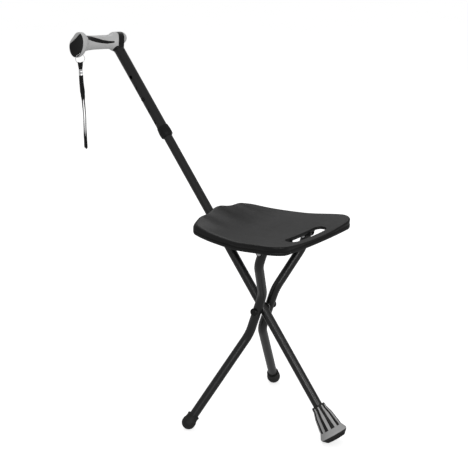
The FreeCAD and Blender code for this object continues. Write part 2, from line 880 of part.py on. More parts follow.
def grip_sections(less):
    table = (
        (neck_near - neck_wave - 0.5, 19.8, 19.8, 0.0), (neck_near + 1.0, 18.6, 18.6, 0.0),
        (neck_near + 5.5, 16.6, 16.4, 0.0), (neck_near + 12, 15.4, 14.9, 0.0), (32.0, 15.2, 14.6, 0.0),
        (50.0, 15.6, 14.6, 0.02), (70.0, 16.6, 15.2, 0.08), (85.0, 18.8, 16.8, 0.25),
        (94.0, 24.4, 20.2, 0.7), (99.0, cap_long + 0.6, cap_short + 0.4, 0.95),
        (grip_end - 3.0, cap_long + cap_rim, cap_short + cap_rim, 1.0),
        (grip_end, cap_long + cap_rim - 0.4, cap_short + cap_rim - 0.4, 1.0),
    )
    return [(at, long - less, short - less, share) for at, long, short, share in table]


def lofted(sections):
    return Part.makeLoft([oval(*section) for section in sections], True, False)


def inlay_column():
    # The inlay is drawn as seen from the front, a little below the level of the axis.
    points = [V(40, inlay_height(at, angle), at) for at, angle in inlay_outline]
    face = Part.Face(Part.makePolygon(points + points[:1]))
    column = face.extrude(V(-40, 0, 0))
    column.rotate(V(0, 0, 0), V(0, 0, 1), inlay_turn)
    return column


def inlay_height(at, angle):
    return 15.0 * math.sin(math.radians(angle - inlay_turn))


def neck_cutter(at):
    radius = (neck_r ** 2 + neck_wave ** 2) / (2 * neck_wave)
    return Part.makeCylinder(radius, 80, V(0, -40, at - neck_wave + radius), V(0, 1, 0))


def insert_prism(less, low, length):
    # The end of the grip is an oval with a straight land on its upper rear side.
    prism = prism_at(oval(low, cap_long - less, cap_short - less, 1.0), length)
    land = Part.makeBox(60, 120, length + 2, V(cap_land_at - less, -60, low - 1))
    land.rotate(V(0, 0, 0), V(0, 0, 1), cap_land_turn)
    land.translate(V(cap_shift[0], cap_shift[1], 0))
    return prism.cut(land)


def spindle_length():
    return grip_end - cap_t - 30.0


def make_handle_grip():
    body = lofted(grip_sections(0.0)).cut(neck_room())
    body = body.cut(insert_prism(0.0, grip_end - insert_dish, insert_dish + 1))
    body = body.cut(Part.makeCylinder(spindle_r, spindle_length() + 20, V(0, 0, -20)))
    body = body.cut(inlay_shape())
    hole = strap_hole()
    body = body.cut(rod(ring_hole_r, V(hole.x, hole.y, grip_end - lug_t - 2), V(0, 0, 1), lug_t + 4))
    body = on(handle_place, body)
    back = Part.makeBox(200, 200, 40, V(-100, -100, grip_end - lug_t - 40))
    return single(body.cut(ring_sweep().common(on(handle_place, back))))


def ring_sweep():
    middle = ring_centre()
    radius = ring_r + ring_wire_r + ring_slot_gap
    half = ring_wire_r + ring_slot_gap
    across = ring_across()
    return rod(radius, middle - across * half, across, 2 * half)


def prism_at(wire, length):
    return Part.Face(wire).extrude(V(0, 0, length))


def strap_hole():
    middle = V(cap_shift[0], cap_shift[1], grip_end)
    turn = math.radians(ring_hole_turn)
    ahead = V(math.cos(turn), math.sin(turn), 0)
    edge = oval(grip_end, cap_long + cap_rim, cap_short + cap_rim, 1.0).discretize(360)
    rim = min(edge, key=lambda p: (p - middle).getAngle(ahead))
    return rim - ahead * ring_hole_edge


def make_handle_insert():
    low = grip_end - insert_dish
    body = insert_prism(0.1, low, insert_dish)
    body = body.cut(Part.makeSphere(120, V(cap_shift[0], cap_shift[1], grip_end + 120 - insert_dish * 0.7)))
    hole = strap_hole()
    body = body.cut(rod(ring_hole_r, V(hole.x, hole.y, low - 5), V(0, 0, 1), 60))
    return on(handle_place, single(body))


def inlay_shape():
    band = lofted(grip_sections(0.0)).cut(lofted(grip_sections(inlay_t)))
    return band.common(inlay_column())


def make_handle_inlay():
    return on(handle_place, single(inlay_shape()))


def make_handle_knob():
    rise = neck_r - knob_r - 0.4
    start = V(0, rise, neck_far)
    knob = Part.makeCylinder(knob_r, neck_far - knob_end, start, V(0, 0, -1))
    end = [e for e in knob.Edges if e.Closed and e.CenterOfMass.z < knob_end + 1]
    knob = knob.makeFillet((neck_far - knob_end) * 0.62, end)
    knob = knob.cut(neck_cutter(neck_far))
    knob = knob.cut(Part.makeCylinder(spindle_r, 14, V(0, 0, neck_far), V(0, 0, -1)))
    return on(handle_place, single(knob))


def make_handle_spindle():
    start = neck_far - neck_wave - 4
    return on(handle_place, Part.makeCylinder(spindle_r, spindle_length() - start, V(0, 0, start)))


def neck_ring():
    ring = Part.makeCylinder(neck_r, 60, V(0, 0, -30))
    return ring.common(neck_cutter(neck_far)).cut(neck_cutter(neck_near))


def neck_room():
    room = Part.makeCylinder(neck_r + 8, 40, V(0, 0, neck_near - 40))
    return room.cut(neck_cutter(neck_near))


def make_handle_neck():
    stem = lathe([
        (0, upper_top), (neck_stem_r, upper_top), (neck_stem_r, handle_at - neck_r + 2),
        (neck_stem_r + 2.0, handle_at - neck_r + 7), (0, handle_at - neck_r + 7),
    ])
    stem = on(shaft_place, stem)
    stem = stem.cut(on(handle_place, lofted(grip_sections(0.0)).cut(neck_room())))
    stem = stem.cut(make_handle_knob())
    plug = Part.makeCylinder(upper_bore - running_gap, neck_plug_h, V(0, 0, upper_top - neck_plug_h))
    neck = joined([on(handle_place, neck_ring()), stem, on(shaft_place, plug)])
    neck = neck.cut(on(handle_place, Part.makeCylinder(spindle_r, 60, V(0, 0, -30))))
    socket = Part.makeCylinder(upper_r + neck_socket_gap, neck_plug_h, V(0, 0, upper_top - neck_plug_h))
    neck = neck.cut(on(shaft_place, socket.cut(plug)))
    pin = rod(neck_pin_r, V(-40, 0, upper_top - neck_plug_h / 2), V(1, 0, 0), 80)
    return single(neck.cut(on(shaft_place, pin)))


def make_neck_pin():
    pin = rod(neck_pin_r, V(-upper_r, 0, upper_top - neck_plug_h / 2), V(1, 0, 0), upper_od)
    return on(shaft_place, pin)


# Wrist strap

def ring_hole_point():
    return handle_place.multVec(strap_hole() - V(0, 0, lug_t / 2))


def ring_across():
    yaw = math.radians(ring_yaw)
    return V(math.cos(yaw), -math.sin(yaw), 0)


def ring_centre():
    return ring_hole_point() - V(0, 0, ring_r + ring_hang)


def make_split_ring():
    return Part.makeTorus(ring_r, ring_wire_r, ring_centre(), ring_across())


def strap_top():
    return ring_centre() - V(0, 0, ring_r - ring_wire_r - strap_tube_r - 0.4)


def crimp_place():
    middle = strap_top() - V(0, 0, tab_h + crimp_h / 2)
    return FreeCAD.Placement(middle, FreeCAD.Rotation(V(0, 0, 1), strap_yaw))


def make_strap_tab():
    top = strap_top()
    half = strap_tube_r + ring_wire_r + 0.4
    low = -tab_h
    across = ring_across()
    points = [
        top + across * half + V(0, 0, low), top + across * half + V(0, 0, 0),
        top - across * half + V(0, 0, 0), top - across * half + V(0, 0, low),
    ]
    radius = half * 0.98
    return tube_along(points, (radius, radius), strap_tube_r)


def make_strap_crimp():
    crimp = Part.makeBox(crimp_w, crimp_t, crimp_h, V(-crimp_w / 2, -crimp_t / 2, -crimp_h / 2))
    crimp = crimp.makeFillet(1.6, [e for e in crimp.Edges if e.BoundBox.ZLength > crimp_h - 1])
    return on(crimp_place(), crimp)


# Points of the strap, from the crimp down one side, round the bottom and up again:
# sideways, to the front and above the lower face of the crimp
strap_route = (
    (0.3, -1.8, 0.0), (0.3, -1.8, -14.0), (1.0, -2.2, -34.0), (1.2, -1.0, -60.0),
    (2.6, 0.4, -86.0), (2.2, 0.2, -110.0), (1.6, -0.2, -131.0), (1.5, 0.0, -143.0), (1.5, 0.0, -150.0),
    (6.9, 0.0, -150.0), (6.9, 0.0, -143.0), (6.7, 0.2, -131.0), (6.4, 0.4, -110.0), (6.9, -0.2, -86.0),
    (5.3, 1.4, -60.0), (3.4, 2.4, -34.0), (0.7, 1.8, -14.0), (0.7, 1.8, 0.0),
)


def strap_points():
    place = crimp_place()
    low = -crimp_h / 2
    return [place.multVec(V(x, y, low + z)) for x, y, z in strap_route]


def run_radii(points):
    radii = []
    for before, corner, after in zip(points, points[1:], points[2:]):
        first = corner - before
        second = after - corner
        half_turn = first.getAngle(second) / 2
        radii.append(0.45 * min(first.Length, second.Length) / math.tan(half_turn))
    return radii


def make_wrist_strap():
    points = strap_points()
    radii = run_radii(points)
    print("strap radii", [round(radius, 1) for radius in radii])
    path = rounded_path(points, radii)
    strap = tube_along(points, radii, strap_tube_r)
    expected = math.pi * strap_tube_r ** 2 * path.Length
    print("strap length", round(path.Length, 1), "volume share", round(strap.Volume / expected, 4))
    return strap


# The whole object

def make_nodes():
    below_top = block_below(seat_top)
    below_plate = block_below(lambda x, y: seat_top(x, y) - seat_plate_t)
    inside = seat_prism(seat_wall)
    nodes = {
        "main_tube": make_main_tube(),
        "main_tube_plug": make_top_bush(),
        "upper_tube": make_upper_tube(),
        "snap_button": make_snap_button(),
        "button_spring": make_button_spring(),
        "lock_collar": make_lock_collar(),
        "collar_bush": make_collar_bush(),
        "hub_rivet": make_hub_rivet(),
        "hub_washers": make_hub_washers(),
        "catch_pin": make_catch_pin(),
        "stick_tip_bell": make_tip_bell(),
        "stick_tip_band": make_tip_band(),
        "stick_tip_tread": make_tip_tread(),
        "stick_tip_washer": make_tip_washer(),
        "seat_shell": make_seat_shell(below_top, below_plate, inside),
        "seat_catch": make_seat_catch(below_plate, inside),
        "seat_screws": make_seat_screws(),
        "handle_neck": make_handle_neck(),
        "handle_neck_pin": make_neck_pin(),
        "handle_spindle": make_handle_spindle(),
        "handle_grip": make_handle_grip(),
        "handle_inlay": make_handle_inlay(),
        "handle_end_insert": make_handle_insert(),
        "handle_knob": make_handle_knob(),
        "split_ring": make_split_ring(),
        "strap_tab": make_strap_tab(),
        "strap_crimp": make_strap_crimp(),
        "wrist_strap": make_wrist_strap(),
    }
    for name, side in (("right", -1), ("left", 1)):
        nodes[name + "_leg_tube"] = make_leg_tube(side)
        nodes[name + "_leg_plug"] = make_leg_plug(side)
        nodes[name + "_leg_tip"] = make_leg_tip(side)
        nodes[name + "_seat_bracket"] = make_seat_bracket(side, below_plate)
        nodes[name + "_seat_pin"] = make_seat_pin(side)
    return nodes


cord_nodes = ("split_ring", "strap_tab", "strap_crimp", "wrist_strap")


def footprint_centre(nodes):
    box = Part.makeCompound([shape for name, shape in nodes.items() if name not in cord_nodes]).BoundBox
    return V((box.XMin + box.XMax) / 2, (box.YMin + box.YMax) / 2, 0)


def main():
    nodes = make_nodes()
    shift = footprint_centre(nodes)
    for name, shape in nodes.items():
        moved = shape.copy()
        moved.translate(shift * -1)
        moved.exportStep("parts/" + name + ".step")
        print(name, len(moved.Solids), moved.isValid(), round(moved.Volume, 1))
    print("shift", shift)


main()
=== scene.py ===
import math

import bmesh
import bpy
from mathutils import Euler, Matrix, Vector


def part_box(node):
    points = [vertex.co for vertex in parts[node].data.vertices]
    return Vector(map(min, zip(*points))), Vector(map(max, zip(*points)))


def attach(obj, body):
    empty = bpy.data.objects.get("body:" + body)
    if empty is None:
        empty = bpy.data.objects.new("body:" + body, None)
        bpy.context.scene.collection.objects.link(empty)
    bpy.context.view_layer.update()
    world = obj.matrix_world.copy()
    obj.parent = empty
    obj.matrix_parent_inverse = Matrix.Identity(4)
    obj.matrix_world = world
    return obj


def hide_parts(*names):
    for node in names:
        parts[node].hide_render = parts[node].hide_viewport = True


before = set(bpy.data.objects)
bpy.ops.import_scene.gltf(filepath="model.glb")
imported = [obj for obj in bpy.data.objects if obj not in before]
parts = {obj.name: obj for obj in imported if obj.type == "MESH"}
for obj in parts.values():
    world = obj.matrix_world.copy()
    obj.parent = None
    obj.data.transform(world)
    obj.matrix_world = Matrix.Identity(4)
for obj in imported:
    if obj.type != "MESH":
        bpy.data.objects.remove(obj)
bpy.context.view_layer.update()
scene = bpy.context.scene
print("frame loaded:", len(parts), "parts")

# Camera, at the photo's angle
cameraSetup = {
    "place": (1.52216, -1.7821, 1.1818),
    "turnDegrees": (71.15, 0.0, 39.825),
    "lensMm": 91.76, "sensorMm": 36.0, "clipEnd": 60.0,
}


def addCamera():
    lens = bpy.data.cameras.new("photoCamera")
    lens.lens = cameraSetup["lensMm"]
    lens.sensor_width = cameraSetup["sensorMm"]
    lens.dof.use_dof = False
    lens.clip_end = cameraSetup["clipEnd"]
    camera = bpy.data.objects.new("photoCamera", lens)
    camera.location = cameraSetup["place"]
    camera.rotation_euler = Euler([math.radians(angle) for angle in cameraSetup["turnDegrees"]])
    scene.collection.objects.link(camera)
    scene.camera = camera


addCamera()
print("camera placed")


# Shared helpers for meshes

def unitShare(value):
    return min(1.0, max(0.0, value))


def smoothShare(value):
    share = unitShare(value)
    return share * share * (3 - 2 * share)


def newPiece(name, points, faces, sharpAngle=None):
    mesh = bpy.data.meshes.new(name)
    mesh.from_pydata([tuple(point) for point in points], [], faces)
    mesh.update()
    piece = bpy.data.objects.new(name, mesh)
    scene.collection.objects.link(piece)
    smoothFaces(mesh, sharpAngle)
    return piece


def smoothFaces(mesh, sharpAngle=None):
    mesh.polygons.foreach_set("use_smooth", [True] * len(mesh.polygons))
    if sharpAngle:
        mesh.set_sharp_from_angle(angle=math.radians(sharpAngle))
    mesh.update()


def freezePiece(piece):
    # swaps the object's mesh for its evaluated one and drops its modifiers
    graph = bpy.context.evaluated_depsgraph_get()
    mesh = bpy.data.meshes.new_from_object(piece.evaluated_get(graph))
    piece.modifiers.clear()
    piece.data = mesh
    mesh.name = piece.name


def facesOutward(piece):
    work = bmesh.new()
    work.from_mesh(piece.data)
    bmesh.ops.recalc_face_normals(work, faces=work.faces)
    work.to_mesh(piece.data)
    work.free()
    return piece


def ringFaces(rings, around, closed=True):
    faces = []
    steps = around if closed else around - 1
    for ring in range(rings - 1):
        for i in range(steps):
            j = (i + 1) % around
            low = ring * around
            high = low + around
            faces.append((low + i, low + j, high + j, high + i))
    return faces


def cappedFaces(rings, around):
    # a wall through all rings and a face over each end
    last = (rings - 1) * around
    ends = [tuple(reversed(range(around))), tuple(range(last, last + around))]
    return ringFaces(rings, around) + ends


def loopedFaces(rings, around):
    # a wall through all rings and back to the first one
    last = (rings - 1) * around
    back = []
    for i in range(around):
        j = (i + 1) % around
        back.append((last + i, last + j, j, i))
    return ringFaces(rings, around) + back


def dressPiece(piece, body, material, replaced=()):
    piece.data.materials.clear()
    piece.data.materials.append(material)
    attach(piece, body)
    if replaced:
        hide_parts(*replaced)
    return piece


def finishParts(material, names):
    for name in names:
        mesh = parts[name].data
        mesh.materials.clear()
        mesh.materials.append(material)


def midPoint(name):
    low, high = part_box(name)
    return (low + high) / 2


# Shared helpers for node trees

def newMaterial(name, settings):
    material = bpy.data.materials.new(name)
    material.use_nodes = True
    shader = material.node_tree.nodes["Principled BSDF"]
    for socket, value in settings.items():
        shader.inputs[socket].default_value = value
    return material, material.node_tree, shader


def setSocket(tree, socket, value):
    if isinstance(value, bpy.types.NodeSocket):
        tree.links.new(value, socket)
    else:
        socket.default_value = value


def fillSockets(tree, node, **sockets):
    # a blank in an input's name is an underscore here
    for key, value in sockets.items():
        setSocket(tree, node.inputs[key.replace("_", " ")], value)
    return node


def addNode(tree, kind, settings=None, **sockets):
    node = tree.nodes.new(kind)
    for key, value in (settings or {}).items():
        setattr(node, key, value)
    return fillSockets(tree, node, **sockets)


def mathOf(tree, operation, *values):
    node = addNode(tree, "ShaderNodeMath", {"operation": operation})
    for i, value in enumerate(values):
        setSocket(tree, node.inputs[i], value)
    return node.outputs["Value"]


def objectCoordinates(tree):
    return addNode(tree, "ShaderNodeTexCoord").outputs["Object"]


def noiseOf(tree, vector, scale, detail=3.0, roughness=0.5):
    node = addNode(tree, "ShaderNodeTexNoise", Vector=vector, Scale=scale, Detail=detail,
                   Roughness=roughness)
    return node.outputs["Fac"]


def blendTones(tree, factor, dark, light, low=0.3, high=0.7):
    ramp = addNode(tree, "ShaderNodeValToRGB", Fac=factor)
    for stop, place, tone in zip(ramp.color_ramp.elements, (low, high), (dark, light)):
        stop.position = place
        stop.color = (*tone, 1.0)
    return ramp.outputs["Color"]


def spreadValue(tree, factor, low, high, span=(0.0, 1.0)):
    node = addNode(tree, "ShaderNodeMapRange", Value=factor, From_Min=span[0], From_Max=span[1],
                   To_Min=low, To_Max=high)
    return node.outputs["Result"]


def bumpFrom(tree, height, strength, distance, before=None):
    node = addNode(tree, "ShaderNodeBump", Height=height, Strength=strength, Distance=distance)
    if before:
        tree.links.new(before, node.inputs["Normal"])
    return node.outputs["Normal"]


def shadeWith(tree, shader, finish, stain, gloss, normal):
    # the stain spreads the finish's tones, the gloss its roughness
    fillSockets(
        tree, shader, Base_Color=blendTones(tree, stain, finish["dark"], finish["light"]),
        Roughness=spreadValue(tree, gloss, *finish["roughness"]), Normal=normal)


def cameraOnly(tree, seen, unseen, out):
    # the camera's own rays meet one shader, all other rays meet the other
    path = addNode(tree, "ShaderNodeLightPath")
    pick = tree.nodes.new("ShaderNodeMixShader")
    for i, shader in enumerate((path.outputs["Is Camera Ray"], unseen, seen)):
        tree.links.new(shader, pick.inputs[i])
    tree.links.new(pick.outputs["Shader"], tree.nodes.new(out).inputs["Surface"])


def newTree(name, sizes):
    # a tree whose inputs are a mesh, the named sizes and a finish
    tree = bpy.data.node_groups.new(name, "GeometryNodeTree")
    tree.interface.new_socket("Geometry", in_out="INPUT", socket_type="NodeSocketGeometry")
    for label, value in sizes.items():
        kind = "NodeSocketInt" if isinstance(value, int) else "NodeSocketFloat"
        tree.interface.new_socket(label, in_out="INPUT", socket_type=kind).default_value = value
    tree.interface.new_socket("Finish", in_out="INPUT", socket_type="NodeSocketMaterial")
    tree.interface.new_socket("Geometry", in_out="OUTPUT", socket_type="NodeSocketGeometry")
    return tree, tree.nodes.new("NodeGroupInput"), tree.nodes.new("NodeGroupOutput")


def endTree(tree, given, out, shape):
    whole = addNode(tree, "GeometryNodeRealizeInstances", Geometry=shape)
    finish = addNode(tree, "GeometryNodeSetMaterial", Geometry=whole.outputs["Geometry"],
                     Material=given.outputs["Finish"])
    tree.links.new(finish.outputs["Geometry"], out.inputs["Geometry"])
    return tree


def runTree(piece, tree, sizes, finish):
    modifier = piece.modifiers.new(tree.name, "NODES")
    modifier.node_group = tree
    sockets = {}
    for item in tree.interface.items_tree:
        if item.item_type == "SOCKET" and item.in_out == "INPUT":
            sockets[item.name] = item.identifier
    for label, value in {**sizes, "Finish": finish}.items():
        modifier[sockets[label]] = value
    freezePiece(piece)


# Plastics: tones, roughness from low to high, grains in a metre and how deep they look
plasticGrain = {"cloud": 14.0, "sheen": 60.0, "poreShare": 0.8, "grainBump": 0.35, "poreBump": 0.2}
plasticFinishes = {
    "seatPlastic": {
        "dark": (0.0075, 0.0075, 0.0077), "light": (0.0105, 0.0105, 0.0108), "roughness": (0.33, 0.43),
        "grains": 1500.0, "depth": 0.00012, "specular": 0.22,
    },
    "blackPlastic": {
        "dark": (0.005, 0.005, 0.0052), "light": (0.008, 0.008, 0.0082), "roughness": (0.34, 0.46),
        "grains": 2200.0, "depth": 0.00008, "specular": 0.26,
    },
    "greyPlastic": {
        "dark": (0.42, 0.42, 0.42), "light": (0.48, 0.48, 0.478), "roughness": (0.42, 0.52),
        "grains": 1800.0, "depth": 0.00008, "specular": 0.5,
    },
    "greyGrip": {
        "dark": (0.60, 0.60, 0.60), "light": (0.67, 0.67, 0.668), "roughness": (0.46, 0.58),
        "grains": 2000.0, "depth": 0.0001, "specular": 0.5,
    },
}


def plasticFinish(name):
    # moulded plastic: a fine spark-eroded grain, a slow change of tone and of gloss
    finish = plasticFinishes[name]
    material, tree, shader = newMaterial(name, {"Specular IOR Level": finish["specular"]})
    where = objectCoordinates(tree)
    cloud = noiseOf(tree, where, plasticGrain["cloud"], detail=4.0)
    grain = noiseOf(tree, where, finish["grains"], detail=2.0, roughness=0.6)
    poresPerMetre = finish["grains"] * plasticGrain["poreShare"]
    pores = addNode(tree, "ShaderNodeTexVoronoi", Vector=where, Scale=poresPerMetre)
    sheen = noiseOf(tree, where, plasticGrain["sheen"], detail=5.0)
    first = bumpFrom(tree, grain, plasticGrain["grainBump"], finish["depth"])
    both = bumpFrom(tree, pores.outputs["Distance"], plasticGrain["poreBump"], finish["depth"], first)
    shadeWith(tree, shader, finish, cloud, sheen, both)
    return material


# Black rubber of the tips
rubber = {
    "dust": 45.0, "dark": (0.006, 0.006, 0.006), "light": (0.017, 0.0167, 0.016), "roughness": (0.50, 0.72),
    "skin": 900.0, "bump": 0.4, "depth": 0.00018, "specular": 0.42,
}


def rubberFinish():
    material, tree, shader = newMaterial("blackRubber", {"Specular IOR Level": rubber["specular"]})
    where = objectCoordinates(tree)
    dust = noiseOf(tree, where, rubber["dust"], detail=6.0, roughness=0.62)
    skin = noiseOf(tree, where, rubber["skin"], detail=4.0, roughness=0.65)
    shadeWith(tree, shader, rubber, dust, dust, bumpFrom(tree, skin, rubber["bump"], rubber["depth"]))
    return material


# Powder coat on the tubes: a fine orange peel under a satin gloss
tubeCoat = {
    "cloud": 9.0, "dark": (0.0045, 0.0045, 0.0048), "light": (0.0075, 0.0075, 0.0078),
    "rub": 70.0, "roughness": (0.26, 0.38), "peel": 650.0, "bump": 0.25, "depth": 0.00012,
    "settings": {"Coat Weight": 0.35, "Coat Roughness": 0.22, "Specular IOR Level": 0.4},
}


def tubeFinish():
    material, tree, shader = newMaterial("blackTube", tubeCoat["settings"])
    where = objectCoordinates(tree)
    cloud = noiseOf(tree, where, tubeCoat["cloud"], detail=5.0)
    rub = noiseOf(tree, where, tubeCoat["rub"], detail=6.0, roughness=0.6)
    peel = noiseOf(tree, where, tubeCoat["peel"], detail=2.0, roughness=0.4)
    shadeWith(tree, shader, tubeCoat, cloud, rub, bumpFrom(tree, peel, tubeCoat["bump"], tubeCoat["depth"]))
    return material


# Steels: the streaks run along the axes whose scale is small
steelStreaks = {"lines": 700.0, "stain": 120.0, "bump": 0.15, "depth": 0.00005}
steelFinishes = {
    "brightSteel": {
        "dark": (0.50, 0.50, 0.51), "light": (0.62, 0.62, 0.62), "roughness": (0.22, 0.36),
        "streak": (1.0, 1.0, 0.1),
    },
    "blackSteel": {
        "dark": (0.012, 0.012, 0.013), "light": (0.03, 0.03, 0.031), "roughness": (0.34, 0.48),
        "streak": (1.0, 1.0, 0.1),
    },
    "ringSteel": {
        "dark": (0.72, 0.72, 0.73), "light": (0.86, 0.86, 0.86), "roughness": (0.22, 0.34),
        "streak": (0.3, 0.3, 1.0),
    },
}


def steelFinish(name):
    finish = steelFinishes[name]
    material, tree, shader = newMaterial(name, {"Metallic": 1.0})
    where = objectCoordinates(tree)
    stretched = addNode(tree, "ShaderNodeMapping", Vector=where, Scale=finish["streak"])
    lines = noiseOf(tree, stretched.outputs["Vector"], steelStreaks["lines"], detail=4.0, roughness=0.6)
    stain = noiseOf(tree, where, steelStreaks["stain"], detail=5.0)
    streaks = bumpFrom(tree, lines, steelStreaks["bump"], steelStreaks["depth"])
    shadeWith(tree, shader, finish, stain, lines, streaks)
    return material


# Herringbone webbing on the strap's own map: u across and v along, in metres
webbing = {
    "halfRow": 0.001, "pick": 0.0009, "fibre": 5200.0, "mapStart": 0.02, "yarnTone": (0.25, 0.75),
    "dark": (0.006, 0.006, 0.0065), "light": (0.028, 0.028, 0.029), "toneStops": (0.1, 0.6),
    "yarnBump": 0.6, "yarnDepth": 0.00015, "fibreBump": 0.4, "fibreDepth": 0.0001,
    "settings": {
        "Roughness": 0.86, "Sheen Weight": 0.06, "Sheen Roughness": 0.5, "Specular IOR Level": 0.25,
    },
}


def webbingFinish():
    material, tree, shader = newMaterial("blackWebbing", webbing["settings"])
    where = addNode(tree, "ShaderNodeUVMap", {"uv_map": "weave"}).outputs["UV"]
    split = addNode(tree, "ShaderNodeSeparateXYZ", Vector=where)
    side = mathOf(tree, "PINGPONG", split.outputs["X"], webbing["halfRow"])
    slant = mathOf(tree, "ADD", side, split.outputs["Y"])
    wave = mathOf(tree, "SINE", mathOf(tree, "MULTIPLY", slant, 2 * math.pi / webbing["pick"]))
    fibre = noiseOf(tree, where, webbing["fibre"], detail=3.0, roughness=0.7)
    yarn = mathOf(tree, "MULTIPLY", spreadValue(tree, wave, *webbing["yarnTone"]), fibre)
    first = bumpFrom(tree, wave, webbing["yarnBump"], webbing["yarnDepth"])
    tones = blendTones(tree, yarn, webbing["dark"], webbing["light"], *webbing["toneStops"])
    fillSockets(
        tree, shader, Base_Color=tones,
        Normal=bumpFrom(tree, fibre, webbing["fibreBump"], webbing["fibreDepth"], first))
    return material


seatPlastic = plasticFinish("seatPlastic")
blackPlastic = plasticFinish("blackPlastic")
greyPlastic = plasticFinish("greyPlastic")
greyGrip = plasticFinish("greyGrip")
blackRubber = rubberFinish()
blackTube = tubeFinish()
brightSteel = steelFinish("brightSteel")
blackSteel = steelFinish("blackSteel")
ringSteel = steelFinish("ringSteel")
blackWebbing = webbingFinish()
print("finishes made:", len(bpy.data.materials))


# Wrist strap: the route's points are sideways, to the front and above the crimp's lower face
wristStrap = {
    "route": (
        (0.0003, -0.0018, 0.0), (0.0003, -0.0018, -0.014), (0.0010, -0.0022, -0.034),
        (0.0012, -0.0010, -0.060), (0.0026, 0.0004, -0.086), (0.0022, 0.0002, -0.110),
        (0.0024, -0.0002, -0.131), (0.0029, 0.0, -0.145), (0.0030, 0.0, -0.1545),
        (0.0060, 0.0, -0.1545), (0.0060, 0.0, -0.145), (0.0060, 0.0002, -0.131),
        (0.0060, 0.0004, -0.110), (0.0069, -0.0002, -0.086), (0.0053, 0.0014, -0.060),
        (0.0034, 0.0024, -0.034), (0.0007, 0.0018, -0.014), (0.0007, 0.0018, 0.0),
    ),
    "yaw": 40.0, "width": 0.0080, "thickness": 0.0017, "stepsPerPoint": 10,
    # height below the crimp and the turn of the strap's face there, in degrees
    "twist": (
        (0.004, 0.0), (-0.014, -4.0), (-0.030, -18.0), (-0.042, -50.0), (-0.055, -76.0),
        (-0.086, -82.0), (-0.110, -78.0), (-0.131, -68.0), (-0.160, -58.0),
    ),
    # the section's points across the band, as shares of its half width, from a pointed edge
    "section": (-1.0, -0.93, -0.6, -0.2, 0.2, 0.6, 0.93),
}


def readSpline(points, resolution):
    curve = bpy.data.curves.new("strapGuide", "CURVE")
    curve.dimensions = "3D"
    curve.resolution_u = resolution
    spline = curve.splines.new("NURBS")
    spline.points.add(len(points) - 1)
    for control, point in zip(spline.points, points):
        control.co = (*point, 1.0)
    spline.order_u = 3
    spline.use_endpoint_u = True
    guide = bpy.data.objects.new("strapGuide", curve)
    scene.collection.objects.link(guide)
    mesh = bpy.data.meshes.new_from_object(guide)
    line = [vertex.co.copy() for vertex in mesh.vertices]
    bpy.data.objects.remove(guide)
    bpy.data.curves.remove(curve)
    bpy.data.meshes.remove(mesh)
    return line


def valueAt(table, place):
    rows = sorted(table)
    if place <= rows[0][0]:
        return rows[0][1]
    for (low, first), (high, second) in zip(rows, rows[1:]):
        if place <= high:
            return first + (second - first) * smoothShare((place - low) / (high - low))
    return rows[-1][1]


def flatBand(name, line, acrossAt, width, thickness):
    # a woven band: a flat section with round edges, carried along the line
    shares = wristStrap["section"]
    upper = [(share * width / 2, 0.0 if share == shares[0] else thickness / 2) for share in shares]
    section = upper + [(-a, -b) for a, b in upper]
    around = len(section)
    points = []
    lengths = []
    reached = 0.0
    for i, middle in enumerate(line):
        ahead = line[min(i + 1, len(line) - 1)] - line[max(i - 1, 0)]
        ahead.normalize()
        across = acrossAt(middle)
        across = (across - ahead * across.dot(ahead)).normalized()
        normal = ahead.cross(across)
        points += [middle + across * a + normal * b for a, b in section]
        if i:
            reached += (middle - line[i - 1]).length
        lengths.append(reached)
    band = facesOutward(newPiece(name, points, cappedFaces(len(line), around), sharpAngle=50))
    weave = band.data.uv_layers.new(name="weave")
    for loop in band.data.loops:
        ring, k = divmod(loop.vertex_index, around)
        weave.data[loop.index].uv = (section[k][0] + webbing["mapStart"], lengths[ring])
    return band


def makeWristStrap():
    crimp = midPoint("strap_crimp")
    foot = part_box("strap_crimp")[0].z
    start = Vector((crimp.x, crimp.y, foot))
    turn = Matrix.Rotation(math.radians(wristStrap["yaw"]), 3, "Z")
    route = [start + turn @ Vector(point) for point in wristStrap["route"]]
    line = readSpline(route, wristStrap["stepsPerPoint"])

    def acrossAt(middle):
        angle = math.radians(valueAt(wristStrap["twist"], middle.z - start.z))
        return turn @ Vector((math.cos(angle), math.sin(angle), 0.0))

    band = flatBand("wristStrapBand", line, acrossAt, wristStrap["width"], wristStrap["thickness"])
    dressPiece(band, "strap", blackWebbing, ("wrist_strap",))
    return band, line, route[0]


# Tab that folds over the split ring and goes down into the crimp
strapTab = {
    "widthTop": 0.0104, "widthLow": 0.0074, "thickness": 0.0010, "ringYaw": 25.0,
    "columns": 13, "stepsPerPoint": 6, "mapStep": 0.0008, "edgeRound": 0.0003,
    # the wire's inner radius, the fold's top below the ring's centre, the fall over which the tab
    # narrows, and how much sooner its arch fades
    "wireInside": 0.0089, "foldTop": 0.0079, "fall": 0.0125, "archFade": 1.6,
    # across the ring and above the ring's centre
    "path": (
        (0.0006, -0.0225), (0.0008, -0.0185), (0.0015, -0.0145), (0.0017, -0.0115),
        (0.0016, -0.0094), (0.0010, -0.0082), (0.0, -0.0079),
    ),
}


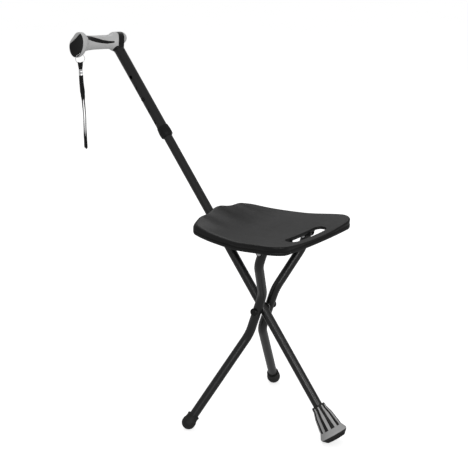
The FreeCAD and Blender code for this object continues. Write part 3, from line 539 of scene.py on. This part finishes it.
def makeStrapTab():
    shape = strapTab
    ring = midPoint("split_ring")
    ringTurn = math.radians(-shape["ringYaw"])
    normal = Vector((math.cos(ringTurn), math.sin(ringTurn), 0.0))
    half = list(shape["path"])
    path = half + [(-a, z) for a, z in reversed(half[:-1])]
    smooth = readSpline([ring + normal * a + Vector((0, 0, z)) for a, z in path], shape["stepsPerPoint"])
    atRing = Vector((-normal.y, normal.x, 0.0))
    yaw = math.radians(wristStrap["yaw"])
    atCrimp = Vector((math.cos(yaw), math.sin(yaw), 0.0))
    columns = shape["columns"]
    inside = shape["wireInside"]
    points = []
    for middle in smooth:
        drop = (ring.z - shape["foldTop"] - middle.z) / shape["fall"]
        share = unitShare(drop)
        across = (atRing * (1 - share) + atCrimp * share).normalized()
        width = shape["widthTop"] + (shape["widthLow"] - shape["widthTop"]) * share
        for k in range(columns):
            side = (k / (columns - 1) - 0.5) * width
            arch = inside - math.sqrt(inside ** 2 - side ** 2)
            lift = arch * max(0.0, 1 - drop * shape["archFade"])
            points.append(middle + across * side + Vector((0, 0, lift)))
    tab = newPiece("strapTabBand", points, ringFaces(len(smooth), columns, False))
    weave = tab.data.uv_layers.new(name="weave")
    for loop in tab.data.loops:
        row, column = divmod(loop.vertex_index, columns)
        across = column * shape["mapStep"] + webbing["mapStart"]
        weave.data[loop.index].uv = (across, row * shape["mapStep"])
    wall = tab.modifiers.new("wall", "SOLIDIFY")
    wall.thickness = shape["thickness"]
    wall.offset = 0.0
    softEdge = tab.modifiers.new("softEdge", "BEVEL")
    softEdge.width = shape["edgeRound"]
    softEdge.segments = 2
    freezePiece(tab)
    smoothFaces(tab.data, sharpAngle=50)
    return dressPiece(tab, "strap", blackWebbing, ("strap_tab",))


# Crimp: a bent steel sleeve with two grooves pressed round it. The squareness shapes its section, and
# its narrow sides move in by a share of what its wide faces do
strapCrimp = {
    "width": 0.0076, "depth": 0.0050, "height": 0.0135, "wall": 0.0006, "pressed": 0.00045, "edge": 0.0003,
    "squareness": 0.42, "sideShare": 0.4, "around": 32,
}


def makeStrapCrimp():
    shape = strapCrimp
    middle = midPoint("strap_crimp")
    turn = Matrix.Rotation(math.radians(wristStrap["yaw"]), 3, "Z")
    around = shape["around"]
    pressed = shape["pressed"]
    # height, as a share of the half height, and how far in the wall stands
    upper = [
        (0.24, 0.0), (0.38, pressed / 2), (0.50, pressed), (0.62, pressed / 2), (0.80, 0.0), (0.97, 0.0),
        (1.0, shape["edge"]),
    ]
    rings = [(-level, less) for level, less in reversed(upper)] + upper
    rings += [(level, shape["wall"]) for level in (1.0, 0.8, -0.8, -1.0)]
    points = []
    for level, less in rings:
        halfX = shape["width"] / 2 - less * shape["sideShare"]
        halfY = shape["depth"] / 2 - less
        for i in range(around):
            angle = 2 * math.pi * i / around
            c = math.cos(angle)
            s = math.sin(angle)
            x = math.copysign(abs(c) ** shape["squareness"], c) * halfX
            y = math.copysign(abs(s) ** shape["squareness"], s) * halfY
            points.append(middle + turn @ Vector((x, y, level * shape["height"] / 2)))
    faces = loopedFaces(len(rings), around)
    crimp = facesOutward(newPiece("strapCrimpSleeve", points, faces, sharpAngle=40))
    return dressPiece(crimp, "strap", ringSteel, ("strap_crimp",))


band, bandLine, strapExit = makeWristStrap()
tab = makeStrapTab()
crimp = makeStrapCrimp()
print("wrist strap made:", len(bandLine), "points along it")


# Split ring: two turns of wire, one on top of the other
splitRing = {
    "radius": 0.0097, "wire": 0.00042, "turns": 2.0, "pitch": 0.00082, "yaw": 25.0, "startTurn": 70.0,
    "stepsPerTurn": 72, "wireSides": 14,
}


def splitRingTree(sizes):
    tree, given, out = newTree("splitRingCoil", sizes)
    rise = mathOf(tree, "MULTIPLY", given.outputs["Turns"], given.outputs["Pitch"])
    coil = addNode(tree, "GeometryNodeCurveSpiral", Resolution=splitRing["stepsPerTurn"],
                   Rotations=given.outputs["Turns"], Start_Radius=given.outputs["Radius"],
                   End_Radius=given.outputs["Radius"], Height=rise)
    wire = addNode(tree, "GeometryNodeCurvePrimitiveCircle", {"mode": "RADIUS"},
                   Resolution=splitRing["wireSides"], Radius=given.outputs["Wire"])
    skin = addNode(tree, "GeometryNodeCurveToMesh", Curve=coil.outputs["Curve"],
                   Profile_Curve=wire.outputs["Curve"], Fill_Caps=True)
    return endTree(tree, given, out, skin.outputs["Mesh"])


def makeSplitRing():
    ring = newPiece("splitRingCoil", [], [])
    sizes = {
        "Radius": splitRing["radius"], "Wire": splitRing["wire"], "Turns": splitRing["turns"],
        "Pitch": splitRing["pitch"],
    }
    runTree(ring, splitRingTree(sizes), sizes, ringSteel)
    rise = splitRing["turns"] * splitRing["pitch"]
    yaw = Matrix.Rotation(math.radians(-splitRing["yaw"]), 4, "Z")
    upright = Matrix.Rotation(math.radians(90), 4, "Y")
    start = Matrix.Rotation(math.radians(splitRing["startTurn"]), 4, "Z")
    centred = Matrix.Translation((0, 0, -rise / 2))
    ring.data.transform(Matrix.Translation(midPoint("split_ring")) @ yaw @ upright @ start @ centred)
    smoothFaces(ring.data, sharpAngle=50)
    return dressPiece(ring, "strap", ringSteel, ("split_ring",))


ring = makeSplitRing()
tuple(strapExit)
[tuple(point) for point in bandLine]
print("split ring made:", len(ring.data.polygons), "faces")


# Seat moulding: places are from the point above the hub, in metres
seatMoulding = {
    "hubX": 0.116364,
    "rearCorner": (-0.1125, 0.0955), "rearMiddle": -0.128,
    "sideMiddle": 0.1185, "frontCorner": (0.1335, 0.130), "frontMiddle": 0.135,
    "rearRound": 0.026, "frontRound": 0.034, "sideSteps": 56, "endSteps": 44, "cornerSteps": 16,
    "plate": 0.0045, "wall": 0.0032, "flatInset": 0.022, "flatRings": 26,
    "shoulderInsets": (0.0185, 0.0155, 0.0125), "rollSteps": 10,
    "underRoll": 0.8, "underInsets": (0.0072, 0.014),
    "skirtRear": 0.018, "skirtFront": 0.012, "skirtFrom": 0.04, "skirtSpan": 0.08, "skirtHalf": 0.105,
    "edgeRear": 0.0095, "edgeFront": 0.0032, "edgeFrom": -0.02, "edgeSpan": 0.13,
    "lip": 0.0062, "groove": 0.0015,
    "slotX": 0.1025, "slotHalf": (0.013, 0.058), "slotRound": 0.0021, "slotDepth": 0.006, "slotWall": 0.003,
    "slotCut": (0.36, 0.48),
}

# Height of the seat's top: the front lifts a little and rises to both sides, the rear has a hump in its
# middle, a ridge beside it and low corners, and the rear blends into the front
seatTop = {
    "front": 0.4195, "frontCurve": 0.3, "lift": 0.0048, "liftFrom": 0.01, "liftSpan": 0.09,
    "side": 0.008, "sidePerX": 0.02, "sideY": 0.12,
    "rear": 0.435, "hump": 0.008, "humpWidth": 0.026, "ridge": 0.0025, "ridgeY": 0.06, "ridgeWidth": 0.014,
    "corner": 0.008, "cornerFrom": 0.062, "cornerSpan": 0.036, "cornerPower": 1.5,
    "blendFrom": -0.02, "blendSpan": 0.105, "blendPower": 1.7,
}


def seatHeight(x, y):
    top = seatTop
    far = abs(y)
    lift = top["lift"] * smoothShare((x - top["liftFrom"]) / top["liftSpan"])
    side = (top["side"] + top["sidePerX"] * x) * (far / top["sideY"]) ** 2
    front = top["front"] + top["frontCurve"] * x * x + lift + side
    hump = top["hump"] * math.exp(-((far / top["humpWidth"]) ** 2))
    ridge = top["ridge"] * math.exp(-(((far - top["ridgeY"]) / top["ridgeWidth"]) ** 2))
    drop = top["corner"] * max(0.0, (far - top["cornerFrom"]) / top["cornerSpan"]) ** top["cornerPower"]
    rear = top["rear"] + hump + ridge - drop
    share = unitShare((top["blendFrom"] - x) / top["blendSpan"]) ** top["blendPower"]
    return front * (1 - share) + rear * share


def circleThrough(first, second, third):
    (ax, ay), (bx, by), (cx, cy) = first, second, third
    d = 2 * (ax * (by - cy) + bx * (cy - ay) + cx * (ay - by))
    a = ax * ax + ay * ay
    b = bx * bx + by * by
    c = cx * cx + cy * cy
    x = (a * (by - cy) + b * (cy - ay) + c * (ay - by)) / d
    y = (a * (cx - bx) + b * (ax - cx) + c * (bx - ax)) / d
    return Vector((x, y)), math.hypot(ax - x, ay - y)


def roundCentre(first, second, corner, radius):
    # the centre, near the corner, of a round that touches both circles from inside
    (c1, r1), (c2, r2) = first, second
    a = r1 - radius
    b = r2 - radius
    span = c2 - c1
    along = (a * a - b * b + span.length_squared) / (2 * span.length)
    off = math.sqrt(a * a - along * along)
    unit = span.normalized()
    choices = [c1 + unit * along + Vector((-unit.y, unit.x)) * off * way for way in (-1, 1)]
    return min(choices, key=lambda point: (point - corner).length)


def angleTo(centre, point):
    return math.atan2(point.y - centre.y, point.x - centre.x)


def arcRows(centre, radius, start, end, steps):
    # anticlockwise: each point as its arc's centre, the radius and the way to the point
    while end < start:
        end += 2 * math.pi
    angles = [start + (end - start) * k / steps for k in range(steps)]
    return [(centre, radius, Vector((math.cos(angle), math.sin(angle)))) for angle in angles]


def seatOutline():
    # four wide arcs, front, side, rear and side, with a round between each two
    shape = seatMoulding
    rx, ry = shape["rearCorner"]
    fx, fy = shape["frontCorner"]
    side = shape["sideMiddle"]
    circles = [
        circleThrough((fx, -fy), (shape["frontMiddle"], 0.0), (fx, fy)),
        circleThrough((fx, fy), (0.0, side), (rx, ry)),
        circleThrough((rx, ry), (shape["rearMiddle"], 0.0), (rx, -ry)),
        circleThrough((rx, -ry), (0.0, -side), (fx, -fy)),
    ]
    corners = [
        (Vector((fx, fy)), shape["frontRound"]), (Vector((rx, ry)), shape["rearRound"]),
        (Vector((rx, -ry)), shape["rearRound"]), (Vector((fx, -fy)), shape["frontRound"]),
    ]
    rounds = []
    for i, (corner, radius) in enumerate(corners):
        rounds.append((roundCentre(circles[i], circles[(i + 1) % 4], corner, radius), radius))
    rows = []
    for i in range(4):
        centre, radius = circles[i]
        before = rounds[i - 1][0]
        corner, cornerRadius = rounds[i]
        following = circles[(i + 1) % 4][0]
        steps = shape["sideSteps"] if i % 2 else shape["endSteps"]
        rows += arcRows(centre, radius, angleTo(centre, before), angleTo(centre, corner), steps)
        rows += arcRows(
            corner, cornerRadius, angleTo(centre, corner), angleTo(following, corner), shape["cornerSteps"])
    return rows


def insetPoint(row, inset):
    centre, radius, ahead = row
    return centre + ahead * (radius - inset)


def skirtShare(x):
    return unitShare((x - seatMoulding["skirtFrom"]) / seatMoulding["skirtSpan"])


def skirtDepth(share):
    return seatMoulding["skirtRear"] + (seatMoulding["skirtFront"] - seatMoulding["skirtRear"]) * share


def edgeRadius(x):
    share = unitShare((x - seatMoulding["edgeFrom"]) / seatMoulding["edgeSpan"])
    return seatMoulding["edgeRear"] + (seatMoulding["edgeFront"] - seatMoulding["edgeRear"]) * share


def wallProfile():
    # inwards from the outline and up from the skirt's foot: the groove, the lip, the foot, the inside
    lip = seatMoulding["lip"]
    groove = seatMoulding["groove"]
    return (
        (groove * 0.5, lip + 0.0026), (groove, lip + 0.0015), (groove, lip + 0.0009),
        (groove * 0.55, lip + 0.0003), (0.0003, lip - 0.0002), (0.0, lip - 0.0009), (0.0, 0.0030),
        (0.0001, 0.0012), (0.0006, 0.0003), (0.0013, 0.0), (0.0024, 0.0), (0.0030, 0.0004),
        (seatMoulding["wall"], 0.0012),
    )


def seatRings(rows):
    shape = seatMoulding
    plate = shape["plate"]
    inner = [insetPoint(row, shape["flatInset"]) for row in rows]
    shares = [k / shape["flatRings"] for k in range(1, shape["flatRings"] + 1)]

    def flatRing(share, down):
        places = [(point.x * share, point.y * share) for point in inner]
        return [Vector((x, y, seatHeight(x, y) - down)) for x, y in places]

    def edgeRing(insetOf, heightOf):
        # the inset depends on the outline's x, the height on the point and on the outline beside it
        ring = []
        for row in rows:
            rim = insetPoint(row, 0.0)
            point = insetPoint(row, insetOf(rim.x))
            ring.append(Vector((point.x, point.y, heightOf(point, rim))))
        return ring

    def rollRing(angle):
        return edgeRing(
            lambda x: edgeRadius(x) * (1 - math.sin(angle)),
            lambda p, rim: seatHeight(p.x, p.y) - edgeRadius(rim.x) * (1 - math.cos(angle)))

    def wallRing(inset, up):
        def heightOf(point, rim):
            skirt = skirtDepth(skirtShare(rim.x) * max(0.0, 1 - (rim.y / shape["skirtHalf"]) ** 2))
            return seatHeight(rim.x, rim.y) - skirt + up
        return edgeRing(lambda x: inset, heightOf)

    def topRing(inset, downAt):
        return edgeRing(lambda x: inset, lambda p, rim: seatHeight(p.x, p.y) - downAt(rim))

    rings = [flatRing(share, 0.0) for share in shares]
    rings += [topRing(inset, lambda rim: 0.0) for inset in shape["shoulderInsets"]]
    rings += [rollRing(math.radians(90 * k / shape["rollSteps"])) for k in range(shape["rollSteps"] + 1)]
    rings += [wallRing(inset, up) for inset, up in wallProfile()]
    rings.append(topRing(shape["wall"], lambda rim: max(plate, edgeRadius(rim.x) * shape["underRoll"])))
    rings += [topRing(inset, lambda rim: plate) for inset in shape["underInsets"]]
    return rings + [flatRing(share, plate) for share in reversed(shares)]


def stadium(grow, steps=14, straight=16):
    # the slot's outline, grown outwards, with the steps of a half round and of a straight side
    shape = seatMoulding
    halfX, halfY = shape["slotHalf"]
    end = halfY - halfX
    radius = halfX + grow
    points = []
    for way in (1, -1):
        for k in range(steps):
            angle = math.pi * k / steps + (0 if way > 0 else math.pi)
            x = shape["slotX"] + radius * math.cos(angle)
            points.append(Vector((x, way * end + radius * math.sin(angle))))
        for k in range(straight):
            y = way * (end - 2 * end * k / straight)
            points.append(Vector((shape["slotX"] - way * radius, y)))
    return points


def makeSlotLip():
    depth = seatMoulding["slotDepth"]
    wall = seatMoulding["slotWall"]
    # outwards from the slot and up from the seat's top: the round, the slot's wall and back behind it
    profile = (
        (0.0024, 0.00004), (0.0017, 0.0), (0.0011, -0.0002), (0.0006, -0.0006), (0.0002, -0.0012),
        (0.0, -0.0020), (0.0, -depth * 0.6), (0.0, -depth + 0.001), (0.0004, -depth + 0.0002),
        (0.0010, -depth), (wall - 0.0010, -depth), (wall - 0.0003, -depth + 0.0003),
        (wall, -depth + 0.0010), (wall, -0.0040), (0.0027, -0.0010),
    )
    rings = []
    for grow, up in profile:
        rings.append([Vector((p.x, p.y, seatHeight(p.x, p.y) + up)) for p in stadium(grow)])
    points = [point for ring in rings for point in ring]
    return facesOutward(newPiece("slotLip", points, loopedFaces(len(rings), len(rings[0]))))


def cutSlot(seat):
    ring = stadium(seatMoulding["slotRound"])
    points = [Vector((p.x, p.y, z)) for z in seatMoulding["slotCut"] for p in ring]
    cutter = facesOutward(newPiece("slotCutter", points, cappedFaces(2, len(ring))))
    cut = seat.modifiers.new("slot", "BOOLEAN")
    cut.operation = "DIFFERENCE"
    cut.solver = "EXACT"
    cut.object = cutter
    freezePiece(seat)
    bpy.data.objects.remove(cutter)


def joinPieces(first, *others):
    work = bmesh.new()
    for piece in (first, *others):
        work.from_mesh(piece.data)
    work.to_mesh(first.data)
    work.free()
    for piece in others:
        bpy.data.objects.remove(piece)


def makeSeat():
    rows = seatOutline()
    rings = seatRings(rows)
    around = len(rows)
    points = [point for ring in rings for point in ring]
    faces = [tuple(reversed(face)) for face in ringFaces(len(rings), around)]
    top = len(points)
    middle = seatHeight(0.0, 0.0)
    points += [Vector((0.0, 0.0, middle)), Vector((0.0, 0.0, middle - seatMoulding["plate"]))]
    last = (len(rings) - 1) * around
    for i in range(around):
        j = (i + 1) % around
        faces += [(top, i, j), (top + 1, last + j, last + i)]
    seat = facesOutward(newPiece("seatMoulding", points, faces))
    cutSlot(seat)
    joinPieces(seat, makeSlotLip())
    seat.data.transform(Matrix.Translation((seatMoulding["hubX"], 0, 0)))
    smoothFaces(seat.data, sharpAngle=42)
    return dressPiece(seat, "seat", seatPlastic, ("seat_shell",))


# Ribs under the seat: lines across and along it, apart from the rooms of the catch and the slot
seatRibs = {
    "acrossX": (-0.088, -0.030, 0.010, 0.076), "alongY": (-0.100, -0.030, 0.030, 0.100),
    "thickness": 0.0025, "floor": 0.4126, "aboveRim": 0.002, "step": 0.004, "steps": 40,
    "intoWall": 0.0004, "intoPlate": 0.0006, "least": 0.001,
    "rooms": ((-0.128, -0.080, 0.033), (0.094, 0.124, 0.061)),
}


def insidePolygon(x, y, outline):
    inside = False
    for first, second in zip(outline, outline[1:] + outline[:1]):
        if (first.y > y) != (second.y > y):
            if x < first.x + (y - first.y) * (second.x - first.x) / (second.y - first.y):
                inside = not inside
    return inside


def ribSpan(x, y, outline):
    # lower and upper end of a rib there, or nothing
    shape = seatRibs
    height = seatHeight(x, y)
    top = height - seatMoulding["plate"] + shape["intoPlate"]
    low = max(shape["floor"], height - skirtDepth(skirtShare(x)) + shape["aboveRim"])
    blocked = any(rear < x < front and abs(y) < wide for rear, front, wide in shape["rooms"])
    if blocked or low > top - shape["least"] or not insidePolygon(x, y, outline):
        return None
    return low, top


def ribRuns(place, across, outline):
    # the stretches of one rib, each a list of four-cornered sections
    half = seatRibs["thickness"] / 2
    side = Vector((half, 0, 0)) if across else Vector((0, half, 0))
    runs = [[]]
    for k in range(-seatRibs["steps"], seatRibs["steps"] + 1):
        along = k * seatRibs["step"]
        x, y = (place, along) if across else (along, place)
        span = ribSpan(x, y, outline)
        if span:
            low, high = (Vector((x, y, z)) for z in span)
            runs[-1].append([low - side, low + side, high + side, high - side])
        elif runs[-1]:
            runs.append([])
    return [run for run in runs if len(run) > 1]


def makeSeatRibs():
    outline = [insetPoint(row, seatMoulding["wall"] - seatRibs["intoWall"]) for row in seatOutline()]
    runs = []
    for x in seatRibs["acrossX"]:
        runs += ribRuns(x, True, outline)
    for y in seatRibs["alongY"]:
        runs += ribRuns(y, False, outline)
    points = []
    faces = []
    for run in runs:
        start = len(points)
        points += [corner for ring in run for corner in ring]
        faces += [tuple(start + corner for corner in face) for face in cappedFaces(len(run), 4)]
    ribs = facesOutward(newPiece("seatRibs", points, faces, sharpAngle=30))
    ribs.data.transform(Matrix.Translation((seatMoulding["hubX"], 0, 0)))
    return dressPiece(ribs, "seat", seatPlastic)


seat = makeSeat()
ribs = makeSeatRibs()
print("seat made:", len(seat.data.polygons), "faces, and", len(ribs.data.polygons), "of its ribs")


# Screws under the seat: round heads with a cross recess, four to a bracket and one to each side of the
# catch, each head on the flange that it holds
seatScrews = {
    "headRadius": 0.0036, "headHeight": 0.0022, "taper": 0.72, "sides": 28, "seed": 7,
    "recessWidth": 0.0009, "recessLength": 0.0042, "recessDepth": 0.0011,
    "bracketX": 0.053, "bracketY": 0.071, "stepX": 0.0161, "stepY": 0.0155, "bracketFlange": 0.005,
    "catchX": -0.092, "catchY": 0.026, "catchMiddle": -0.084, "catchFlange": 0.004,
}


def screwTree(sizes):
    tree, given, out = newTree("crossScrew", sizes)
    low = mathOf(tree, "MULTIPLY", given.outputs["Head Radius"], seatScrews["taper"])
    head = addNode(tree, "GeometryNodeMeshCone", Vertices=seatScrews["sides"], Side_Segments=3,
                   Radius_Top=given.outputs["Head Radius"], Radius_Bottom=low,
                   Depth=given.outputs["Head Height"])
    cut = addNode(tree, "GeometryNodeMeshBoolean", {"operation": "DIFFERENCE"}, Mesh_1=head.outputs["Mesh"])
    # the recess is two boxes centred on the head's lower face, so they are twice as deep as it is
    deep = mathOf(tree, "MULTIPLY", given.outputs["Recess Depth"], 2.0)
    for turned in (False, True):
        sides = ("Recess Width", "Recess Length") if turned else ("Recess Length", "Recess Width")
        alongX, alongY = (given.outputs[side] for side in sides)
        size = addNode(tree, "ShaderNodeCombineXYZ", X=alongX, Y=alongY, Z=deep)
        cube = addNode(tree, "GeometryNodeMeshCube", Size=size.outputs["Vector"])
        tree.links.new(cube.outputs["Mesh"], cut.inputs["Mesh 2"])
    spots = addNode(tree, "GeometryNodeMeshToPoints", Mesh=given.outputs["Geometry"])
    turn = addNode(tree, "FunctionNodeRandomValue", {"data_type": "FLOAT"}, Seed=seatScrews["seed"])
    turn.inputs[2].default_value = 0.0
    turn.inputs[3].default_value = math.pi
    spin = addNode(tree, "ShaderNodeCombineXYZ", Z=turn.outputs[1])
    heads = addNode(tree, "GeometryNodeInstanceOnPoints", Points=spots.outputs["Points"],
                    Instance=cut.outputs["Mesh"], Rotation=spin.outputs["Vector"])
    return endTree(tree, given, out, heads.outputs["Instances"])


def makeSeatScrews():
    shape = seatScrews
    plate = seatMoulding["plate"]
    bracketUnder = seatHeight(shape["bracketX"], shape["bracketY"]) - plate - shape["bracketFlange"]
    catchUnder = seatHeight(shape["catchMiddle"], 0.0) - plate - shape["catchFlange"]
    heads = []
    for side in (-1, 1):
        for dx in (-shape["stepX"], shape["stepX"]):
            for dy in (-shape["stepY"], shape["stepY"]):
                y = side * (shape["bracketY"] + dy)
                heads.append(Vector((shape["bracketX"] + dx, y, bracketUnder)))
        heads.append(Vector((shape["catchX"], side * shape["catchY"], catchUnder)))
    down = Vector((seatMoulding["hubX"], 0, -shape["headHeight"] / 2))
    screws = newPiece("seatScrewHeads", [head + down for head in heads], [])
    sizes = {
        "Head Radius": shape["headRadius"], "Head Height": shape["headHeight"],
        "Recess Width": shape["recessWidth"], "Recess Length": shape["recessLength"],
        "Recess Depth": shape["recessDepth"],
    }
    runTree(screws, screwTree(sizes), sizes, brightSteel)
    smoothFaces(screws.data, sharpAngle=30)
    return dressPiece(screws, "seat", brightSteel, ("seat_screws",))


screws = makeSeatScrews()
print("screws made:", len(screws.data.polygons), "faces")


# Ends of the tip's prongs, from the band's own prongs over the bell to its neck. Each row of the outline
# is the height above the bell's foot, the outer radius and the width, in metres
tipProngs = {
    "count": 10, "depth": 0.0020, "edge": 0.0005,
    "outline": (
        (0.0440, 0.0185, 0.0056), (0.0470, 0.0177, 0.0052), (0.0500, 0.0169, 0.0047),
        (0.0540, 0.0157, 0.0040), (0.0575, 0.0148, 0.0034), (0.0600, 0.0150, 0.0030),
        (0.0630, 0.0149, 0.0025), (0.0642, 0.0143, 0.0020),
    ),
    "stickBase": (0.116364, 0.0, 0.2444), "stickLean": 39.1, "bellFoot": -0.290504,
}


def prongTree(sizes):
    # the prongs stand half a step on from the bell's ribs
    tree, given, out = newTree("prongRing", sizes)
    spots = addNode(tree, "GeometryNodeMeshLine", Count=given.outputs["Count"], Offset=(0.0, 0.0, 0.0))
    order = addNode(tree, "GeometryNodeInputIndex").outputs["Index"]
    angle = mathOf(tree, "MULTIPLY", mathOf(tree, "ADD", order, 0.5), given.outputs["Step"])
    turn = addNode(tree, "ShaderNodeCombineXYZ", Z=angle)
    ring = addNode(tree, "GeometryNodeInstanceOnPoints", Points=spots.outputs["Mesh"],
                   Instance=given.outputs["Geometry"], Rotation=turn.outputs["Vector"])
    return endTree(tree, given, out, ring.outputs["Instances"])


def makeTipProngs():
    shape = tipProngs
    points = []
    for height, radius, width in shape["outline"]:
        half = width / 2
        section = [(radius - shape["depth"], -half), (radius - shape["edge"], -half)]
        section.append((radius, -half + shape["edge"]))
        section += [(reach, -side) for reach, side in reversed(section)]
        points += [Vector((reach, side, shape["bellFoot"] + height)) for reach, side in section]
    faces = cappedFaces(len(shape["outline"]), 6)
    prongs = facesOutward(newPiece("tipProngEnds", points, faces))
    sizes = {"Count": shape["count"], "Step": 2 * math.pi / shape["count"]}
    runTree(prongs, prongTree(sizes), sizes, greyPlastic)
    lean = Matrix.Rotation(math.radians(-shape["stickLean"]), 4, "Y")
    prongs.data.transform(Matrix.Translation(shape["stickBase"]) @ lean)
    smoothFaces(prongs.data, sharpAngle=40)
    return dressPiece(prongs, "stick", greyPlastic)


prongs = makeTipProngs()
print("prong ends made:", len(prongs.data.polygons), "faces")


# Finishes of the parts that keep their own shape
partFinishes = (
    (blackTube, ("main_tube", "upper_tube", "right_leg_tube", "left_leg_tube")),
    (greyGrip, ("handle_grip", "handle_knob")),
    (blackPlastic, (
        "handle_inlay", "handle_end_insert", "handle_neck", "lock_collar", "hub_rivet", "main_tube_plug",
        "snap_button", "seat_catch", "right_leg_plug", "left_leg_plug", "right_seat_bracket",
        "left_seat_bracket",
    )),
    (blackRubber, ("stick_tip_bell", "stick_tip_tread", "right_leg_tip", "left_leg_tip")),
    (greyPlastic, ("stick_tip_band", "collar_bush")),
    (brightSteel, (
        "button_spring", "catch_pin", "handle_spindle", "hub_washers", "stick_tip_washer",
        "right_seat_pin", "left_seat_pin",
    )),
    (blackSteel, ("handle_neck_pin",)),
)
for material, names in partFinishes:
    finishParts(material, names)
print("finishes given to", sum(len(names) for material, names in partFinishes), "parts")


# Floor, sky and softboxes. The camera sees a glowing floor, everything else is lit by a dimmer one
studio = {
    "floorHalf": 14.0, "floorHeight": -0.0002, "floorTone": 0.86, "floorSpread": 0.01, "floorGrain": 3.0,
    "floorGlow": 0.66, "floorBounce": 0.38,
    "skyWay": (-0.6405, 0.768, 0.0), "skyTurn": (-0.6, 0.7), "skyFront": 0.42, "skyBehind": 0.35,
    "skyRise": (0.35, 0.9), "skyAbove": 0.4, "aim": (0.0, 0.0, 0.4),
    # name, place, size in metres and power in watts
    "softboxes": (
        ("keySoftbox", (-1.6, 1.2, 2.6), 1.6, 16.0),
        ("fillSoftbox", (2.2, -2.4, 1.4), 0.9, 16.0),
        ("stripSoftbox", (2.7, -0.5, 1.5), 0.5, 16.0),
    ),
}
plainWhite = (1.0, 1.0, 1.0, 1.0)


def addFloor():
    half = studio["floorHalf"]
    corners = ((-half, -half), (half, -half), (half, half), (-half, half))
    floor = newPiece("studioFloor", [(x, y, studio["floorHeight"]) for x, y in corners], [(0, 1, 2, 3)])
    material = bpy.data.materials.new("paleFloor")
    material.use_nodes = True
    tree = material.node_tree
    tree.nodes.clear()
    paper = noiseOf(tree, objectCoordinates(tree), studio["floorGrain"])
    dark = (studio["floorTone"] - studio["floorSpread"],) * 3
    light = (studio["floorTone"] + studio["floorSpread"],) * 3
    matt = addNode(tree, "ShaderNodeBsdfDiffuse", Color=blendTones(tree, paper, dark, light))
    glow = addNode(tree, "ShaderNodeEmission", Color=plainWhite, Strength=studio["floorGlow"])
    both = tree.nodes.new("ShaderNodeAddShader")
    tree.links.new(matt.outputs["BSDF"], both.inputs[0])
    tree.links.new(glow.outputs["Emission"], both.inputs[1])
    bounce = addNode(tree, "ShaderNodeEmission", Color=plainWhite, Strength=studio["floorBounce"])
    cameraOnly(tree, both.outputs["Shader"], bounce.outputs["Emission"], "ShaderNodeOutputMaterial")
    floor.data.materials.append(material)


def addSky():
    # the object is lit a little more from the camera's side, and the camera sees plain white
    world = bpy.data.worlds.new("studioSky")
    scene.world = world
    world.use_nodes = True
    tree = world.node_tree
    tree.nodes.clear()
    way = addNode(tree, "ShaderNodeTexCoord").outputs["Generated"]
    facing = addNode(tree, "ShaderNodeVectorMath", {"operation": "DOT_PRODUCT"})
    tree.links.new(way, facing.inputs[0])
    facing.inputs[1].default_value = studio["skyWay"]
    height = addNode(tree, "ShaderNodeSeparateXYZ", Vector=way).outputs["Z"]
    turned = facing.outputs["Value"]
    around = spreadValue(tree, turned, studio["skyFront"], studio["skyBehind"], studio["skyTurn"])
    above = spreadValue(tree, height, 0.0, studio["skyAbove"], studio["skyRise"])
    strength = mathOf(tree, "MAXIMUM", around, above)
    lit = addNode(tree, "ShaderNodeBackground", Color=plainWhite, Strength=strength)
    plain = addNode(tree, "ShaderNodeBackground", Color=plainWhite, Strength=1.0)
    cameraOnly(tree, plain.outputs["Background"], lit.outputs["Background"], "ShaderNodeOutputWorld")


def addSoftbox(name, place, size, power):
    lamp = bpy.data.lights.new(name, "AREA")
    lamp.energy = power
    lamp.size = size
    light = bpy.data.objects.new(name, lamp)
    light.location = place
    light.rotation_euler = (Vector(studio["aim"]) - Vector(place)).to_track_quat("-Z", "Y").to_euler()
    scene.collection.objects.link(light)


addFloor()
addSky()
for softbox in studio["softboxes"]:
    addSoftbox(*softbox)
scene.view_settings.view_transform = "Standard"
print("studio lit")
